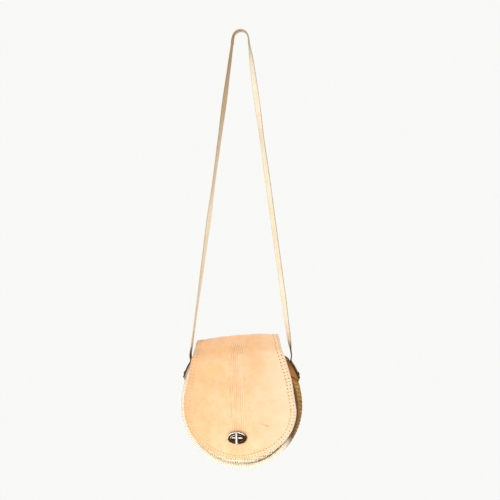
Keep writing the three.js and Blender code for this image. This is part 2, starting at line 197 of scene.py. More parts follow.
# The hide's slow waves.
WAVE = SimpleNamespace(scale=32, height=0.9 * MM)
LOCK = SimpleNamespace(
    height=-693.6 * MM,
    flap_face=-52.5 * MM,
    frame=(33 * MM, 20 * MM, 2.6 * MM),
    slot=mm(21.4, 9),
    seat=mm(19, 6.6),
    plate=(30 * MM, 17 * MM, 2 * MM),
    bar=(4.6 * MM, 20 * MM, 4.2 * MM),
    spindle=mm(1.6, 6),
    softness=0.4 * MM,
    sides=64,
    spindle_sides=24,
)
# Metal edges are sharp above this angle.
SHARP_ANGLE = math.radians(42)
# The frame's section: how far in from its outer oval to its slot, and how far back from its front.
FRAME_PROFILE = (
    (0, 1), (0, 0.3), (0.02, 0.14), (0.07, 0.03), (0.13, 0), (0.19, 0.04), (0.25, 0.17), (0.31, 0.34),
    (0.42, 0.4), (0.7, 0.4), (0.78, 0.33), (0.84, 0.2), (0.9, 0.15), (0.96, 0.2), (1, 0.32), (1, 1),
)
# The bar's crown: how far in from its outline, and how far forward from its back.
BAR_PROFILE = ((0.12, 0), (0, 0.1), (0, 0.45), (0.12, 0.7), (0.34, 0.88), (0.62, 0.97), (0.88, 1))
SEAM = SimpleNamespace(
    pitch=5.7 * MM,
    outer=3.2 * MM,
    inner=8.6 * MM,
    channel=0.28 * MM,
    channel_width=0.9 * MM,
    hole=1.15 * MM,
    stitch=4.1 * MM,
    thread=0.75 * MM,
    sink=0.15 * MM,
    lift=0.1,
)
# A hide's rounded edge, and the spacing of the places on its border that its points are measured to.
EDGE = SimpleNamespace(steps=5, fullness=0.6, spacing=0.25 * MM)
WEAVE = SimpleNamespace(
    weaver=3.0 * MM,
    stake=6.4 * MM,
    wander=0.9 * MM,
    margin=0.2 * MM,
    tuck=3 * MM,
    gusset_tuck=2 * MM,
    grid=57,
    gusset_rows=161,
    gusset_columns=15,
    widths=(0.9, 1.04),
    sides=6,
)
# The strands' numbers, which choose their random tones, start apart.
WEAVER = SimpleNamespace(
    half_width=1.44 * MM, half_thickness=0.45 * MM, rise=0.72 * MM, step=1.4 * MM, first_number=0
)
STAKE = SimpleNamespace(
    half_width=2.2 * MM, half_thickness=0.55 * MM, rise=0.28 * MM, step=1.0 * MM, first_number=100
)
# The strip's half width is a share of the pitch, and the core lies a share of the thickness further in.
WRAP = SimpleNamespace(
    pitch=2.9 * MM, thickness=0.9 * MM, steps=14, half_width=0.56, sides=8, core=0.85, core_sides=10
)

HUNG = (
    Matrix.Translation((0, 0, ROLL.pivot))
    @ Matrix.Rotation(-ROLL.angle, 4, "Y")
    @ Matrix.Translation((0, 0, -ROLL.pivot))
)


def lock_depths():
    """Depths of the turn lock's layers, from the panel out to the bar."""
    panel = -(BODY.rim_depth + WALL.panel / 2 + FRONT.swell + GAP)
    frame = LOCK.flap_face - GAP - LOCK.frame[2]
    bar = frame - 2 * GAP
    return SimpleNamespace(panel=panel, plate=panel - LOCK.plate[2], frame=frame, seat=bar + GAP, bar=bar)


LOCK_DEPTH = lock_depths()

CAMERA = SimpleNamespace(azimuth=9, height=-0.383, distance=0.95, lens=39.09, shift=0.0188)
LIGHT_HEIGHT = -0.5
ROOM_LIGHT = 0.45
FLOOR = SimpleNamespace(height=-1.6, radius=1.6, fade=(0.1, 0.8), sides=96)

# ---------------------------------------------------------------- where the finishes change

# Each pair is where a tone begins and where it has its full strength. A name that ends in left or right
# goes by x, one that ends in high, low or top by height, and front by depth.
FLAP_TONE = SimpleNamespace(
    cream_right=mm(40, 115),
    warm_left=mm(10, -80),
    mottled_left=mm(60, 0),
    stained_left=mm(50, -30),
    smudged_left=mm(-8, -40),
    # The grooves are lighter to the right as painted light.
    groove_lit_right=mm(-4, 10),
    cream_border_right=mm(-20, 60),
    # The stitch holes are painted dark as shade, more to the right and higher up.
    shaded_holes_right=mm(-50, 40),
    shaded_holes_high=mm(-705, -675),
    front=mm(2, -12),
)
# A hide's dark brim, by the distance to its edge.
BRIM = mm(2.2, 0.4)
# The stain under the lock is wider than it is high.
LOCK_STAIN = SimpleNamespace(height=-722 * MM, reach=mm(24, 10), squash=0.75, wander=12 * MM)
# A scuff right of the lock, from its faint end to its dark one: x and height.
SCUFF = SimpleNamespace(start=mm(28, -665.5), end=mm(51, -675), reach=mm(0.5, 2.7), wander=2 * MM)
# The strap's flesh side goes by its thickness, and its brim and crease by the distance in from its edge.
STRAP_TONE = SimpleNamespace(
    leg_left=mm(4, -4),
    # The upper left leg is darkened as painted shade, and the arch partly as painted shade and partly by
    # handling.
    shaded_high=mm(-280, -60),
    arch_high=mm(-60, -10),
    ends_low=mm(-534, -550),
    lower_left=mm(30, -30),
    lower_by=14 * MM,
    flesh=mm(0.1, -0.3),
    brim=mm(0.7, 0.1),
    crease=mm(0.35, 0.1),
    crease_inset=1.6 * MM,
)
# Painted light on the left tab, which is paler, and painted shade at the tabs' tops under the flap.
CAP_TONE = SimpleNamespace(lit_left=mm(0, -80), shaded_top=mm(-594, -570))
# Painted shade on the rattan, darker towards the bottom.
RATTAN_SHADE_LOW = mm(-610, -660)
# Painted shade on the cane rim: in its corner with the panel and on its right side, where the flap shades
# it.
RIM_SHADE = SimpleNamespace(
    corner_right=mm(0, 35),
    right=mm(68, 86),
    high=mm(-712, -688),
    front=mm(-21, -27),
)
# Where light and shade are painted on the lock, as distances from its middle. The hollow lies behind the
# frame's front, and the bright line of the seat is at a height of its own.
LOCK_PAINTED_LIGHT = SimpleNamespace(
    frame_top=mm(0.5, 4.5),
    frame_hollow=mm(0.35, 0.75),
    bar_right=mm(-0.4, 1.6),
    bar_low=mm(-6, -8.8),
    seat_line=mm(1.1, 0.5),
    seat_line_height=1.5 * MM,
)

# ---------------------------------------------------------------- colours

HIDE = (0.89, 0.515, 0.27)
HIDE_WARM = (0.87, 0.45, 0.205)
HIDE_PALE = (0.91, 0.58, 0.345)
# This cream also paints light: on the grooves' right side and on the left tab.
HIDE_CREAM_AND_HIGHLIGHT = (0.93, 0.71, 0.49)
# This tan also paints the shade above the fold.
HIDE_TAN_AND_SHADE = (0.88, 0.50, 0.22)
HIDE_SMUDGE = (0.60, 0.47, 0.25)
HIDE_BROWN = (0.45, 0.22, 0.08)
HIDE_ORANGE = (0.85, 0.42, 0.18)
# This dark orange also paints the shade in the fold's crease.
HIDE_TOOLING_AND_SHADE = (0.56, 0.25, 0.08)
HIDE_SCRATCH = (0.48, 0.30, 0.12)
# The dark painted into the stitch holes as their shade.
HOLE_SHADE = (0.085, 0.04, 0.015)
SUEDE_PALE = (0.70, 0.52, 0.33)
SUEDE_DARK = (0.55, 0.38, 0.22)
EDGE_PALE = (0.95, 0.85, 0.66)
EDGE_DARK = (0.08, 0.03, 0.006)
STRAP_DARK = (0.13, 0.055, 0.010)
# Painted shade on the strap's upper left leg and arch, on the arch partly handling.
STRAP_WORN_AND_SHADED = (0.44, 0.28, 0.14)
STRAP_PALE = (0.98, 0.88, 0.70)
STRAP_WARM = (0.95, 0.78, 0.54)
CAP_RED = (0.44, 0.18, 0.03)
CAP_BROWN = (0.34, 0.14, 0.025)
# The tabs' dark edges, and the shade painted at their tops.
CAP_DARK_AND_SHADE = (0.10, 0.038, 0.008)
THREAD = (0.90, 0.70, 0.42)
RATTAN_PALE = (0.97, 0.87, 0.66)
RATTAN_CREAM = (0.93, 0.77, 0.52)
RATTAN_BROWN = (0.42, 0.24, 0.09)
RATTAN_GOLD = (0.80, 0.48, 0.10)
RATTAN_AMBER = (0.62, 0.32, 0.05)
RATTAN_DEEP = (0.25, 0.12, 0.035)
CANE_PALE = (1.0, 0.93, 0.77)
CANE_PEACH = (0.98, 0.84, 0.64)
CANE_GOLD = (0.80, 0.60, 0.34)
CANE_SHADE = (0.34, 0.18, 0.055)
# The dark painted on the rim as the flap's shadow.
CANE_SHADOW = (0.09, 0.034, 0.003)
# The bright nickel painted as highlights on the lock.
NICKEL_HIGHLIGHT = (0.90, 0.84, 0.74)
NICKEL_BROWN = (0.20, 0.10, 0.035)
# The dark painted as shade on the bar's right flank and lower tip.
NICKEL_SHADE = (0.22, 0.15, 0.10)
# A cloudy film, also painted in the frame's hollow as shade.
NICKEL_FILM_AND_SHADE = (0.035, 0.017, 0.005)
NICKEL_BRIGHT = (0.86, 0.82, 0.77)
BLACK_BRASS = (0.045, 0.03, 0.02)
BLACK_BRASS_RUB = (0.12, 0.08, 0.05)
ROOM = (0.945, 0.945, 0.93)

# ---------------------------------------------------------------- node graphs


def pick(sockets, key):
    """A node's socket by its number, or by its name among those in use."""
    if isinstance(key, int):
        return sockets[key]
    return next(s for s in sockets if s.name == key and s.enabled)


def operator(operation, swapped=False):
    """An operator that adds a Math node, with its two values swapped for a reflected form."""
    def apply(wire, other):
        return wire.graph.math(operation, *((other, wire) if swapped else (wire, other)))
    return apply


class Wire:
    """A node's output. Arithmetic on it adds Math nodes."""

    __add__ = __radd__ = operator("ADD")
    __mul__ = __rmul__ = operator("MULTIPLY")
    __sub__ = operator("SUBTRACT")
    __rsub__ = operator("SUBTRACT", swapped=True)
    __truediv__ = operator("DIVIDE")
    __rtruediv__ = operator("DIVIDE", swapped=True)

    def __init__(self, graph, socket):
        self.graph = graph
        self.socket = socket

    def out(self, name):
        return Wire(self.graph, pick(self.socket.node.outputs, name))

    def __neg__(self):
        return self * -1

    def __abs__(self):
        return self.graph.math("ABSOLUTE", self)


class Graph:
    """A node tree that is written as expressions."""

    def __init__(self, tree):
        self.tree = tree

    def node(self, kind, settings=None, inputs=None, output=0):
        node = self.tree.nodes.new(kind)
        for name, value in (settings or {}).items():
            setattr(node, name, value)
        for key, value in (inputs or {}).items():
            self.feed(pick(node.inputs, key), value)
        return Wire(self, pick(node.outputs, output))

    def feed(self, socket, value):
        if isinstance(value, Wire):
            self.tree.links.new(value.socket, socket)
        else:
            socket.default_value = value

    def math(self, operation, *values, clamp=False):
        settings = {"operation": operation, "use_clamp": clamp}
        return self.node("ShaderNodeMath", settings, dict(enumerate(values)))

    def vector(self, operation, *values, output=0):
        inputs = {("Scale" if operation == "SCALE" and i == 1 else i): v for i, v in enumerate(values)}
        return self.node("ShaderNodeVectorMath", {"operation": operation}, inputs, output)

    def combine(self, x, y, z):
        return self.node("ShaderNodeCombineXYZ", None, {0: x, 1: y, 2: z})

    def split(self, vector):
        parts = self.node("ShaderNodeSeparateXYZ", None, {0: vector})
        return parts, parts.out("Y"), parts.out("Z")

    def clamp(self, value):
        return self.math("ADD", value, 0.0, clamp=True)

    def step(self, value, low, high):
        """0 below low, 1 above high and smooth between; falls instead if low is above high."""
        if low > high:
            return 1 - self.step(value, high, low)
        inputs = {"Value": value, "From Min": low, "From Max": high}
        return self.node("ShaderNodeMapRange", {"interpolation_type": "SMOOTHSTEP"}, inputs)

    def noise(self, scale, detail=2.0, roughness=0.5, place=None, shift=0.0, output=0):
        place = self.vector("ADD", place or self.place(), (shift, shift * 1.7, shift * 0.6))
        inputs = {"Vector": place, "Scale": scale, "Detail": detail, "Roughness": roughness}
        return self.node("ShaderNodeTexNoise", None, inputs, output)

    def patches(self, scale, detail, limits, **kind):
        """Irregular patches: noise, from 0 at its lower limit to 1 at its upper one."""
        return self.step(self.noise(scale, detail, **kind), *limits)


class Finish(Graph):
    """A material, written as expressions, over the piece's own coordinates and attributes."""

    def __init__(self, name, tint, **fixed):
        self.material = bpy.data.materials.new(name)
        self.material.use_nodes = True
        super().__init__(self.material.node_tree)
        self.shader = self.tree.nodes["Principled BSDF"]
        self.tint = tint
        self.set(**fixed)

    def place(self):
        return self.node("ShaderNodeTexCoord", output="Object")

    def attribute(self, name):
        return self.node("ShaderNodeAttribute", {"attribute_name": name}, output="Fac")

    def coat(self, share, colour):
        """Lays a colour over the tint so far."""
        settings = {"data_type": "RGBA", "clamp_factor": True}
        inputs = {"Factor": share, "A": opaque(self.tint), "B": opaque(colour)}
        self.tint = self.node("ShaderNodeMix", settings, inputs, "Result")

    def bump(self, height, distance, strength=1.0, under=None):
        inputs = {"Height": height, "Distance": distance, "Strength": strength}
        if under:
            inputs["Normal"] = under
        return self.node("ShaderNodeBump", None, inputs)

    def set(self, **values):
        """Sets the shader's sockets, named as in the editor but in small letters."""
        for name, value in values.items():
            socket = self.shader.inputs[name.replace("_", " ").title().replace("Ior", "IOR")]
            self.feed(socket, opaque(value) if "color" in name else value)

    def done(self, **values):
        self.set(base_color=self.tint, **values)
        return self.material


def opaque(colour):
    return colour if isinstance(colour, Wire) else (*colour, 1)


VECTOR = "FLOAT_VECTOR"
MATERIAL = "NodeSocketMaterial"


class Recipe(Graph):
    """A Geometry Nodes tree with named inputs: numbers by their first values, others by their kind."""

    def __init__(self, name, **sizes):
        super().__init__(bpy.data.node_groups.new(name, "GeometryNodeTree"))
        kinds = {float: "NodeSocketFloat", int: "NodeSocketInt"}
        for way in ("INPUT", "OUTPUT"):
            self.tree.interface.new_socket("Geometry", in_out=way, socket_type="NodeSocketGeometry")
        for label, value in sizes.items():
            kind = kinds.get(type(value)) or value
            socket = self.tree.interface.new_socket(title(label), in_out="INPUT", socket_type=kind)
            if type(value) in kinds:
                socket.default_value = value
        self.given = self.tree.nodes.new("NodeGroupInput")
        self.base = self.size("geometry")

    def size(self, label):
        return Wire(self, self.given.outputs[title(label)])

    def geo(self, kind, inputs=None, output=0, **settings):
        return self.node("GeometryNode" + kind, settings, inputs, output)

    def place(self):
        return self.geo("InputPosition")

    def random(self, low, high, seed, number):
        inputs = {"Min": low, "Max": high, "Seed": seed, "ID": number}
        return self.node("FunctionNodeRandomValue", {"data_type": "FLOAT"}, inputs, "Value")

    def keep(self, geometry, name, value, kind="FLOAT"):
        """Stores a value on every point under a name."""
        inputs = {"Geometry": geometry, "Name": name, "Value": value}
        return self.geo("StoreNamedAttribute", inputs, data_type=kind, domain="POINT")

    def kept(self, name, kind="FLOAT"):
        return self.geo("InputNamedAttribute", {"Name": name}, "Attribute", data_type=kind)

    def along(self, name, distance):
        """A stored direction, times a distance."""
        return self.vector("SCALE", self.kept(name, VECTOR), distance)

    def face(self, curve):
        """Turns a curve's normals to the way that its points face."""
        inputs = {"Curve": curve, "Normal": self.kept("facing", VECTOR)}
        return self.geo("SetCurveNormal", inputs, mode="FREE")

    def move(self, geometry, **places):
        inputs = {label.title(): value for label, value in places.items()}
        return self.geo("SetPosition", {"Geometry": geometry, **inputs})

    def paint(self, geometry, material):
        smooth = self.geo("SetShadeSmooth", {"Geometry": geometry})
        return self.geo("SetMaterial", {"Geometry": smooth, "Material": material})

    def realize(self, geometry):
        return self.geo("RealizeInstances", {"Geometry": geometry})

    def join(self, *geometries):
        joined = self.geo("JoinGeometry")
        for geometry in geometries:
            self.feed(joined.socket.node.inputs[0], geometry)
        return joined

    def resample(self, curve, **spacing):
        """Points evenly along a curve, by the length between them or by their count."""
        [(label, value)] = spacing.items()
        return self.geo("ResampleCurve", {"Curve": curve, label.title(): value}, mode=label.upper())

    def follow(self, curve, profile, **inputs):
        return self.geo("CurveToMesh", {"Curve": curve, "Profile Curve": profile, **inputs})

    def strand(self, curve, half_width, half_thickness, sides, scale=1.0):
        """A flat strand along a curve, its flat side turned the way that the curve faces."""
        circle = self.geo("CurvePrimitiveCircle", {"Resolution": sides, "Radius": 1.0})
        circle = self.keep(circle, "side", abs(self.split(self.place())[1]))
        flattened = {"Geometry": circle, "Scale": self.combine(half_thickness, half_width, 1.0)}
        profile = self.geo("Transform", flattened)
        return self.follow(self.face(curve), profile, **{"Scale": scale, "Fill Caps": True})

    def done(self, geometry):
        end = self.tree.nodes.new("NodeGroupOutput")
        self.feed(end.inputs["Geometry"], geometry)
        return self.tree


def title(label):
    return label.replace("_", " ").capitalize()


def grow(base, recipe, **sizes):
    """Runs a recipe on a base object and leaves what it makes as a plain mesh."""
    modifier = base.modifiers.new("grow", "NODES")
    modifier.node_group = recipe
    labels = {title(label): value for label, value in sizes.items()}
    for item in recipe.interface.items_tree:
        if item.in_out == "INPUT" and item.name in labels:
            modifier[item.identifier] = labels[item.name]
    return settle(base)


def settle(piece):
    """Makes the result of a piece's modifiers its plain mesh."""
    depsgraph = bpy.context.evaluated_depsgraph_get()
    evaluated = piece.evaluated_get(depsgraph)
    mesh = bpy.data.meshes.new_from_object(evaluated, preserve_all_data_layers=True, depsgraph=depsgraph)
    piece.modifiers.clear()
    piece.data = mesh
    mesh.name = piece.name
    return piece


# ---------------------------------------------------------------- meshes


def new_piece(name, points, faces=(), edges=(), materials=()):
    mesh = bpy.data.meshes.new(name)
    mesh.from_pydata([tuple(p) for p in points], edges, faces)
    mesh.polygons.foreach_set("use_smooth", [True] * len(mesh.polygons))
    for material in materials:
        mesh.materials.append(material)
    piece = bpy.data.objects.new(name, mesh)
    bpy.context.scene.collection.objects.link(piece)
    return piece


def spin(directions):
    """Directions on the upright bag, turned as it hangs."""
    return directions @ np.array(HUNG.to_3x3()).T


def hang(points):
    """Points of the upright bag, turned as it hangs."""
    return spin(np.asarray(points, float)) + np.array(HUNG.translation)


def chain(count, closed=False):
    """The edges of a line through points."""
    return [(i, (i + 1) % count) for i in range(count if closed else count - 1)]


def steps_along(line):
    """The lengths of a line's steps."""
    return np.linalg.norm(np.diff(line, axis=0), axis=1)


def distances_along(line):
    """How far along a line each of its points is."""
    return np.concatenate([[0], np.cumsum(steps_along(line))])


def loop(line):
    """A closed line: it ends at its first point."""
    return np.concatenate([line, line[:1]])


def store(piece, name, values):
    """Stores a number or a vector on every point of a piece under a name."""
    values = np.asarray(values, np.float32)
    kind, field = (VECTOR, "vector") if values.ndim > 1 else ("FLOAT", "value")
    piece.data.attributes.new(name, kind, "POINT").data.foreach_set(field, values.ravel())


def grid_faces(rows, columns):
    """Quads of a grid of points that is stored row by row."""
    return [
        (i * columns + j, i * columns + j + 1, (i + 1) * columns + j + 1, (i + 1) * columns + j)
        for i in range(rows - 1)
        for j in range(columns - 1)
    ]


def sheet(name, points, flat):
    """An open sheet from a grid of points, facing away from the bag's middle, with a flat UV map."""
    places = points.reshape(-1, 3)
    faces = grid_faces(*points.shape[:2])
    first = places[list(faces[0])]
    normal = np.cross(first[1] - first[0], first[3] - first[0])
    if normal @ (first[0] - np.asarray(MIDDLE)) < 0:
        faces = [tuple(reversed(face)) for face in faces]
    piece = new_piece(name, hang(places), faces)
    layer = piece.data.uv_layers.new(name="flat")
    corners = np.zeros(len(piece.data.loops), int)
    piece.data.loops.foreach_get("vertex_index", corners)
    layer.uv.foreach_set("vector", flat.reshape(-1, 2)[corners].astype(np.float32).ravel())
    return piece


def unit(vectors):
    return vectors / np.linalg.norm(vectors, axis=-1, keepdims=True)


def normals(points):
    """Unit normals of a grid of points, on the side away from the bag's middle."""
    normal = unit(np.cross(np.gradient(points, axis=0), np.gradient(points, axis=1)))
    return normal * np.sign(np.sum(normal * (points - MIDDLE)))


def between(low, high, share):
    return low + (high - low) * share


def bend(start, end, leave, arrive, t):
    """A smooth curve from start to end that leaves and arrives at given speeds: its places and speeds."""
    square = 3 * (end - start) - 2 * leave - arrive
    cube = 2 * (start - end) + leave + arrive
    return start + t * (leave + t * (square + t * cube)), leave + t * (2 * square + 3 * t * cube)


# ---------------------------------------------------------------- the body's outline


def body_point(angle, inset, depth=0.0):
    """A point of the outline. Its angle is 0 at the right, where it is widest, and -90 degrees below."""
    rise = np.where(np.sin(angle) > 0, BODY.shoulder_rise, BODY.bottom_fall)
    x = (BODY.half_width - inset) * np.cos(angle)
    z = BODY.wide_level + (rise - inset) * np.sin(angle)
    return np.stack(np.broadcast_arrays(x, depth, z), -1)


def shoulder_angle(height, inset):
    return np.arcsin((height - BODY.wide_level) / (BODY.shoulder_rise - inset))


def half_width_at(height, inset):
    rise = np.where(height > BODY.wide_level, BODY.shoulder_rise, BODY.bottom_fall)
    return (BODY.half_width - inset) * np.sqrt(1 - ((height - BODY.wide_level) / (rise - inset)) ** 2)


def panel_grid(face):
    """The middle of a panel's wall, which goes on under its rim."""
    inset = 2 * BODY.rim_radius + GAP - WEAVE.tuck
    top = face.top - inset
    angles = np.linspace(shoulder_angle(top, inset), -BODY.panel_last_angle, WEAVE.grid)
    across = np.linspace(-1, 1, WEAVE.grid)
    height = body_point(angles, inset)[:, 2:]
    level = np.where(
        height > BODY.wide_level,
        (height - BODY.wide_level) / (top - BODY.wide_level),
        (BODY.wide_level - height) / (BODY.bottom_fall - inset),
    )
    swell = face.swell * (1 - level**BODY.swell_power) * (1 - across**BODY.swell_power)
    into_corner = np.clip((height - top) / face.corner + 1, 0, 1)
    corner_cut = face.corner * (1 - np.sqrt(1 - into_corner**2))
    x = across * (half_width_at(height, inset) - corner_cut)
    depth = face.facing * (BODY.rim_depth + swell)
    return np.stack(np.broadcast_arrays(x, depth, height), -1)


def rim_line(face):
    """The middle of a rim roll: round the body, with a straight top and rounded corners."""
    inset = BODY.rim_radius
    top = face.top - inset
    lower = shoulder_angle(top - face.corner, inset)
    corner = half_width_at(top, inset)
    share = np.linspace(0, 1, RIM_STEPS.corner, endpoint=False)[:, None]
    start = np.array((corner - face.corner, 0, top))
    bend = np.array((corner, 0, top))
    turn = (1 - share) ** 2 * start + 2 * share * (1 - share) * bend + share**2 * body_point(lower, inset)
    sides = body_point(np.linspace(lower, -math.pi - lower, RIM_STEPS.round), inset)
    line = np.concatenate([turn, sides, turn[::-1] * (-1, 1, 1)])
    return line + (0, face.facing * BODY.rim_depth, 0)


def mouth_height(across):
    mean_rise = (GUSSET.mouth_front + GUSSET.mouth_back) / 2 - GUSSET.mouth_middle
    slope = (GUSSET.mouth_back - GUSSET.mouth_front) / 2
    return GUSSET.mouth_middle + slope * across + mean_rise * across**2


def gusset_inset(across):
    return GUSSET.edge_inset - (GUSSET.edge_inset + GUSSET.bulge) * (1 - across**2)


def gusset_depth(across):
    return across * (BODY.rim_depth - BODY.rim_radius - GAP)


def gusset_grid():
    """The middle of the gusset's wall, from mouth to mouth, and its map laid out flat."""
    across = np.linspace(-1, 1, WEAVE.gusset_columns)
    along = np.linspace(0, 1, WEAVE.gusset_rows)[:, None]
    mouth = shoulder_angle(mouth_height(across), GUSSET.edge_inset)
    angle = between(mouth, -math.pi - mouth, along)
    depth = gusset_depth(across) * (1 + WEAVE.gusset_tuck / gusset_depth(1))
    points = body_point(angle, gusset_inset(across) + WALL.gusset / 2, depth)
    length = distances_along(points[:, len(across) // 2])[-1]
    flat = np.stack(np.broadcast_arrays(along * length, depth), -1)
    return points, flat


def tab_grid(hand):
    """The outer face of a side tab."""
    across = np.linspace(-1, 1, TAB.columns)
    along = np.linspace(0, 1, TAB.rows)[:, None]
    upper = shoulder_angle(mouth_height(across), GUSSET.edge_inset)
    lower = shoulder_angle(TAB.lower_edge - TAB.tongue * (1 - across**2), GUSSET.edge_inset)
    angle = between(upper, lower, along)
    points = body_point(angle, gusset_inset(across) - GAP - WALL.tab, gusset_depth(across))
    return points * (hand, 1, 1)


# ---------------------------------------------------------------- the strap's line


def strap_on_tab(height):
    """The middle of the strap where it lies on the right side tab."""
    angle = shoulder_angle(height, 0)
    return body_point(angle, gusset_inset(0) - 3 * GAP - WALL.tab - WALL.strap / 2)


def through(points, steps):
    """A smooth curve through points: a centripetal Catmull-Rom spline, with its directions."""
    points = np.concatenate([[2 * points[0] - points[1]], points, [2 * points[-1] - points[-2]]])
    spans = steps_along(points) ** 0.5
    curves = []
    for i in range(1, len(points) - 2):
        before, start, end, after = points[i - 1 : i + 3]
        first, span, last = spans[i - 1 : i + 2]
        leave = span * ((start - before) / first - (end - before) / (first + span) + (end - start) / span)
        arrive = span * ((end - start) / span - (after - start) / (span + last) + (after - end) / last)
        t = np.linspace(0, 1, steps, endpoint=i == len(points) - 3)[:, None]
        curves.append(bend(start, end, leave, arrive, t))
    places, ways = (np.concatenate(parts) for parts in zip(*curves))
    return places, unit(ways)


def strap_line():
    """The strap's middle line over the peg, from its left tip to its right tip, hanging."""
    radius = STRAP.peg_radius + WALL.strap / 2
    into_bag = np.array(HUNG.inverted().to_3x3())

    def arch(degrees):
        angle = math.radians(degrees)
        place = np.array((radius * math.sin(angle), 0, -STRAP.peg_radius + radius * math.cos(angle)))
        return into_bag @ place + np.array(HUNG.inverted().translation)

    def tail(hand):
        heights = between(STRAP.tail_top, STRAP.tail_end, np.linspace(0, 1, STRAP.tail_points))
        return [strap_on_tab(height) * (hand, 1, 1) for height in heights]

    def shoulder(hand):
        bend = (-STRAP.shoulder_inset, 0, STRAP.shoulder_lift)
        return (strap_on_tab(STRAP.tail_top) + bend) * (hand, 1, 1)

    def leg(hand):
        return [between(arch(hand * STRAP.leg_start), shoulder(hand), share) for share in STRAP.leg_shares]

    stops = [
        *tail(-1)[::-1], shoulder(-1), *leg(-1)[::-1],
        *map(arch, STRAP.arch_degrees),
        *leg(1), shoulder(1), *tail(1),
    ]
    return through(np.array(stops), STRAP.steps)


def strap_turn(line):
    """How far the strap's inner face is turned to the front at each point, in radians."""
    drops, left, right = np.array(STRAP_TURN).T
    drop = -line[:, 2] / MM
    row = np.clip(np.searchsorted(drops, drop) - 1, 0, len(drops) - 2)
    share = np.clip((drop - drops[row]) / (drops[row + 1] - drops[row]), 0, 1)
    share = share**2 * (3 - 2 * share)
    turns = [between(side[row], side[row + 1], share) for side in (left, right)]
    return np.radians(np.where(line[:, 0] < 0, *turns))[:, None]


# ---------------------------------------------------------------- the flap's surface


def table_row(table, row):
    """A table's row as a smooth curve through its rows; row may lie between two of them."""
    i = np.clip(np.floor(row).astype(int), 0, len(table) - 2)
    t = (row - i)[:, None]
    before, start, end, after = (table[np.clip(i + k, 0, len(table) - 1)] for k in (-1, 0, 1, 2))
    return bend(start, end, (end - before) / 2, (after - start) / 2, t)[0]


def flap_sections(along):
    """Depth, height, half widths, fall and tilt of the flap's sections, from its hem to its tip."""
    row = np.minimum(along / FLAP.table_share, 1) * (len(FLAP_ROWS) - 1)
    section = table_row(FLAP_ROWS, row)
    depth, height, left, right, fall = section[:, :5].T * MM
    angle = FLAP.last_angle * np.clip((along - FLAP.table_share) / (1 - FLAP.table_share), 0, 1)
    shrink = np.cos(angle) ** (2 / FLAP.squareness)
    height = height - FLAP.tip_drop * np.sin(angle) ** (2 / FLAP.squareness)
    depth = depth + FLAP.lean * (1 - np.cos(angle)) ** 2
    columns = depth, height, left * shrink, right * shrink, fall, np.radians(section[:, 5])
    return [column[:, None] for column in columns]


def flap_surface(along, across):
    """Points of the flap's outer face."""
    depth, height, left, right, fall, tilt = flap_sections(along)
    nearby = 0.004
    before = flap_sections(np.maximum(along - nearby, 0))
    after = flap_sections(np.minimum(along + nearby, 1))
    normal = unit(np.stack([0 * depth, after[1] - before[1], before[0] - after[0]], -1))
    x = across * np.where(across < 0, left, right)
    sag = fall * (x / FLAP.fall_span) ** 2
    points = np.stack(np.broadcast_arrays(x, depth, height + x * np.tan(tilt)), -1)
    return points - normal * sag[..., None]


def flap_rows():
    """Where the rows of the flap's mesh lie: evenly down the table, then evenly round the tip."""
    fine = np.linspace(0, FLAP.table_share, 2000)
    middle = flap_surface(fine, np.zeros(1))[:, 0]
    length = distances_along(middle)
    count = int(length[-1] / FLAP.row_step)
    straight = np.interp(np.linspace(0, length[-1], count, endpoint=False), length, fine)
    return np.concatenate([straight, np.linspace(FLAP.table_share, 1, FLAP.tip_rows)])


def flap_columns():
    """Where its columns lie: close together at the edges and on the grooves."""
    half = FLAP.fall_span
    marks = np.cumsum([0, *(width for _, width in FLAP.column_bands)])
    stretches = [
        np.linspace(start, end, max(2, round((end - start) / step)), endpoint=False)
        for (step, _), start, end in zip(FLAP.column_bands, marks[:-1], marks[1:])
    ]
    right = np.concatenate([*stretches, [half]]) / half
    return np.concatenate([-right[:0:-1], right])


def groove_place(x, z):
    """How many grooves a point is from the leftmost, and how far down the grooves it is, from 0 to 1."""
    down = (GROOVE.top - z) / (GROOVE.top - GROOVE.bottom)
    off = (x - between(*GROOVE.middle, down)) / between(*GROOVE.spread, down)
    return (off + 1) * ((GROOVE.count - 1) / 2), down


# ---------------------------------------------------------------- recipes that repeat or follow a path


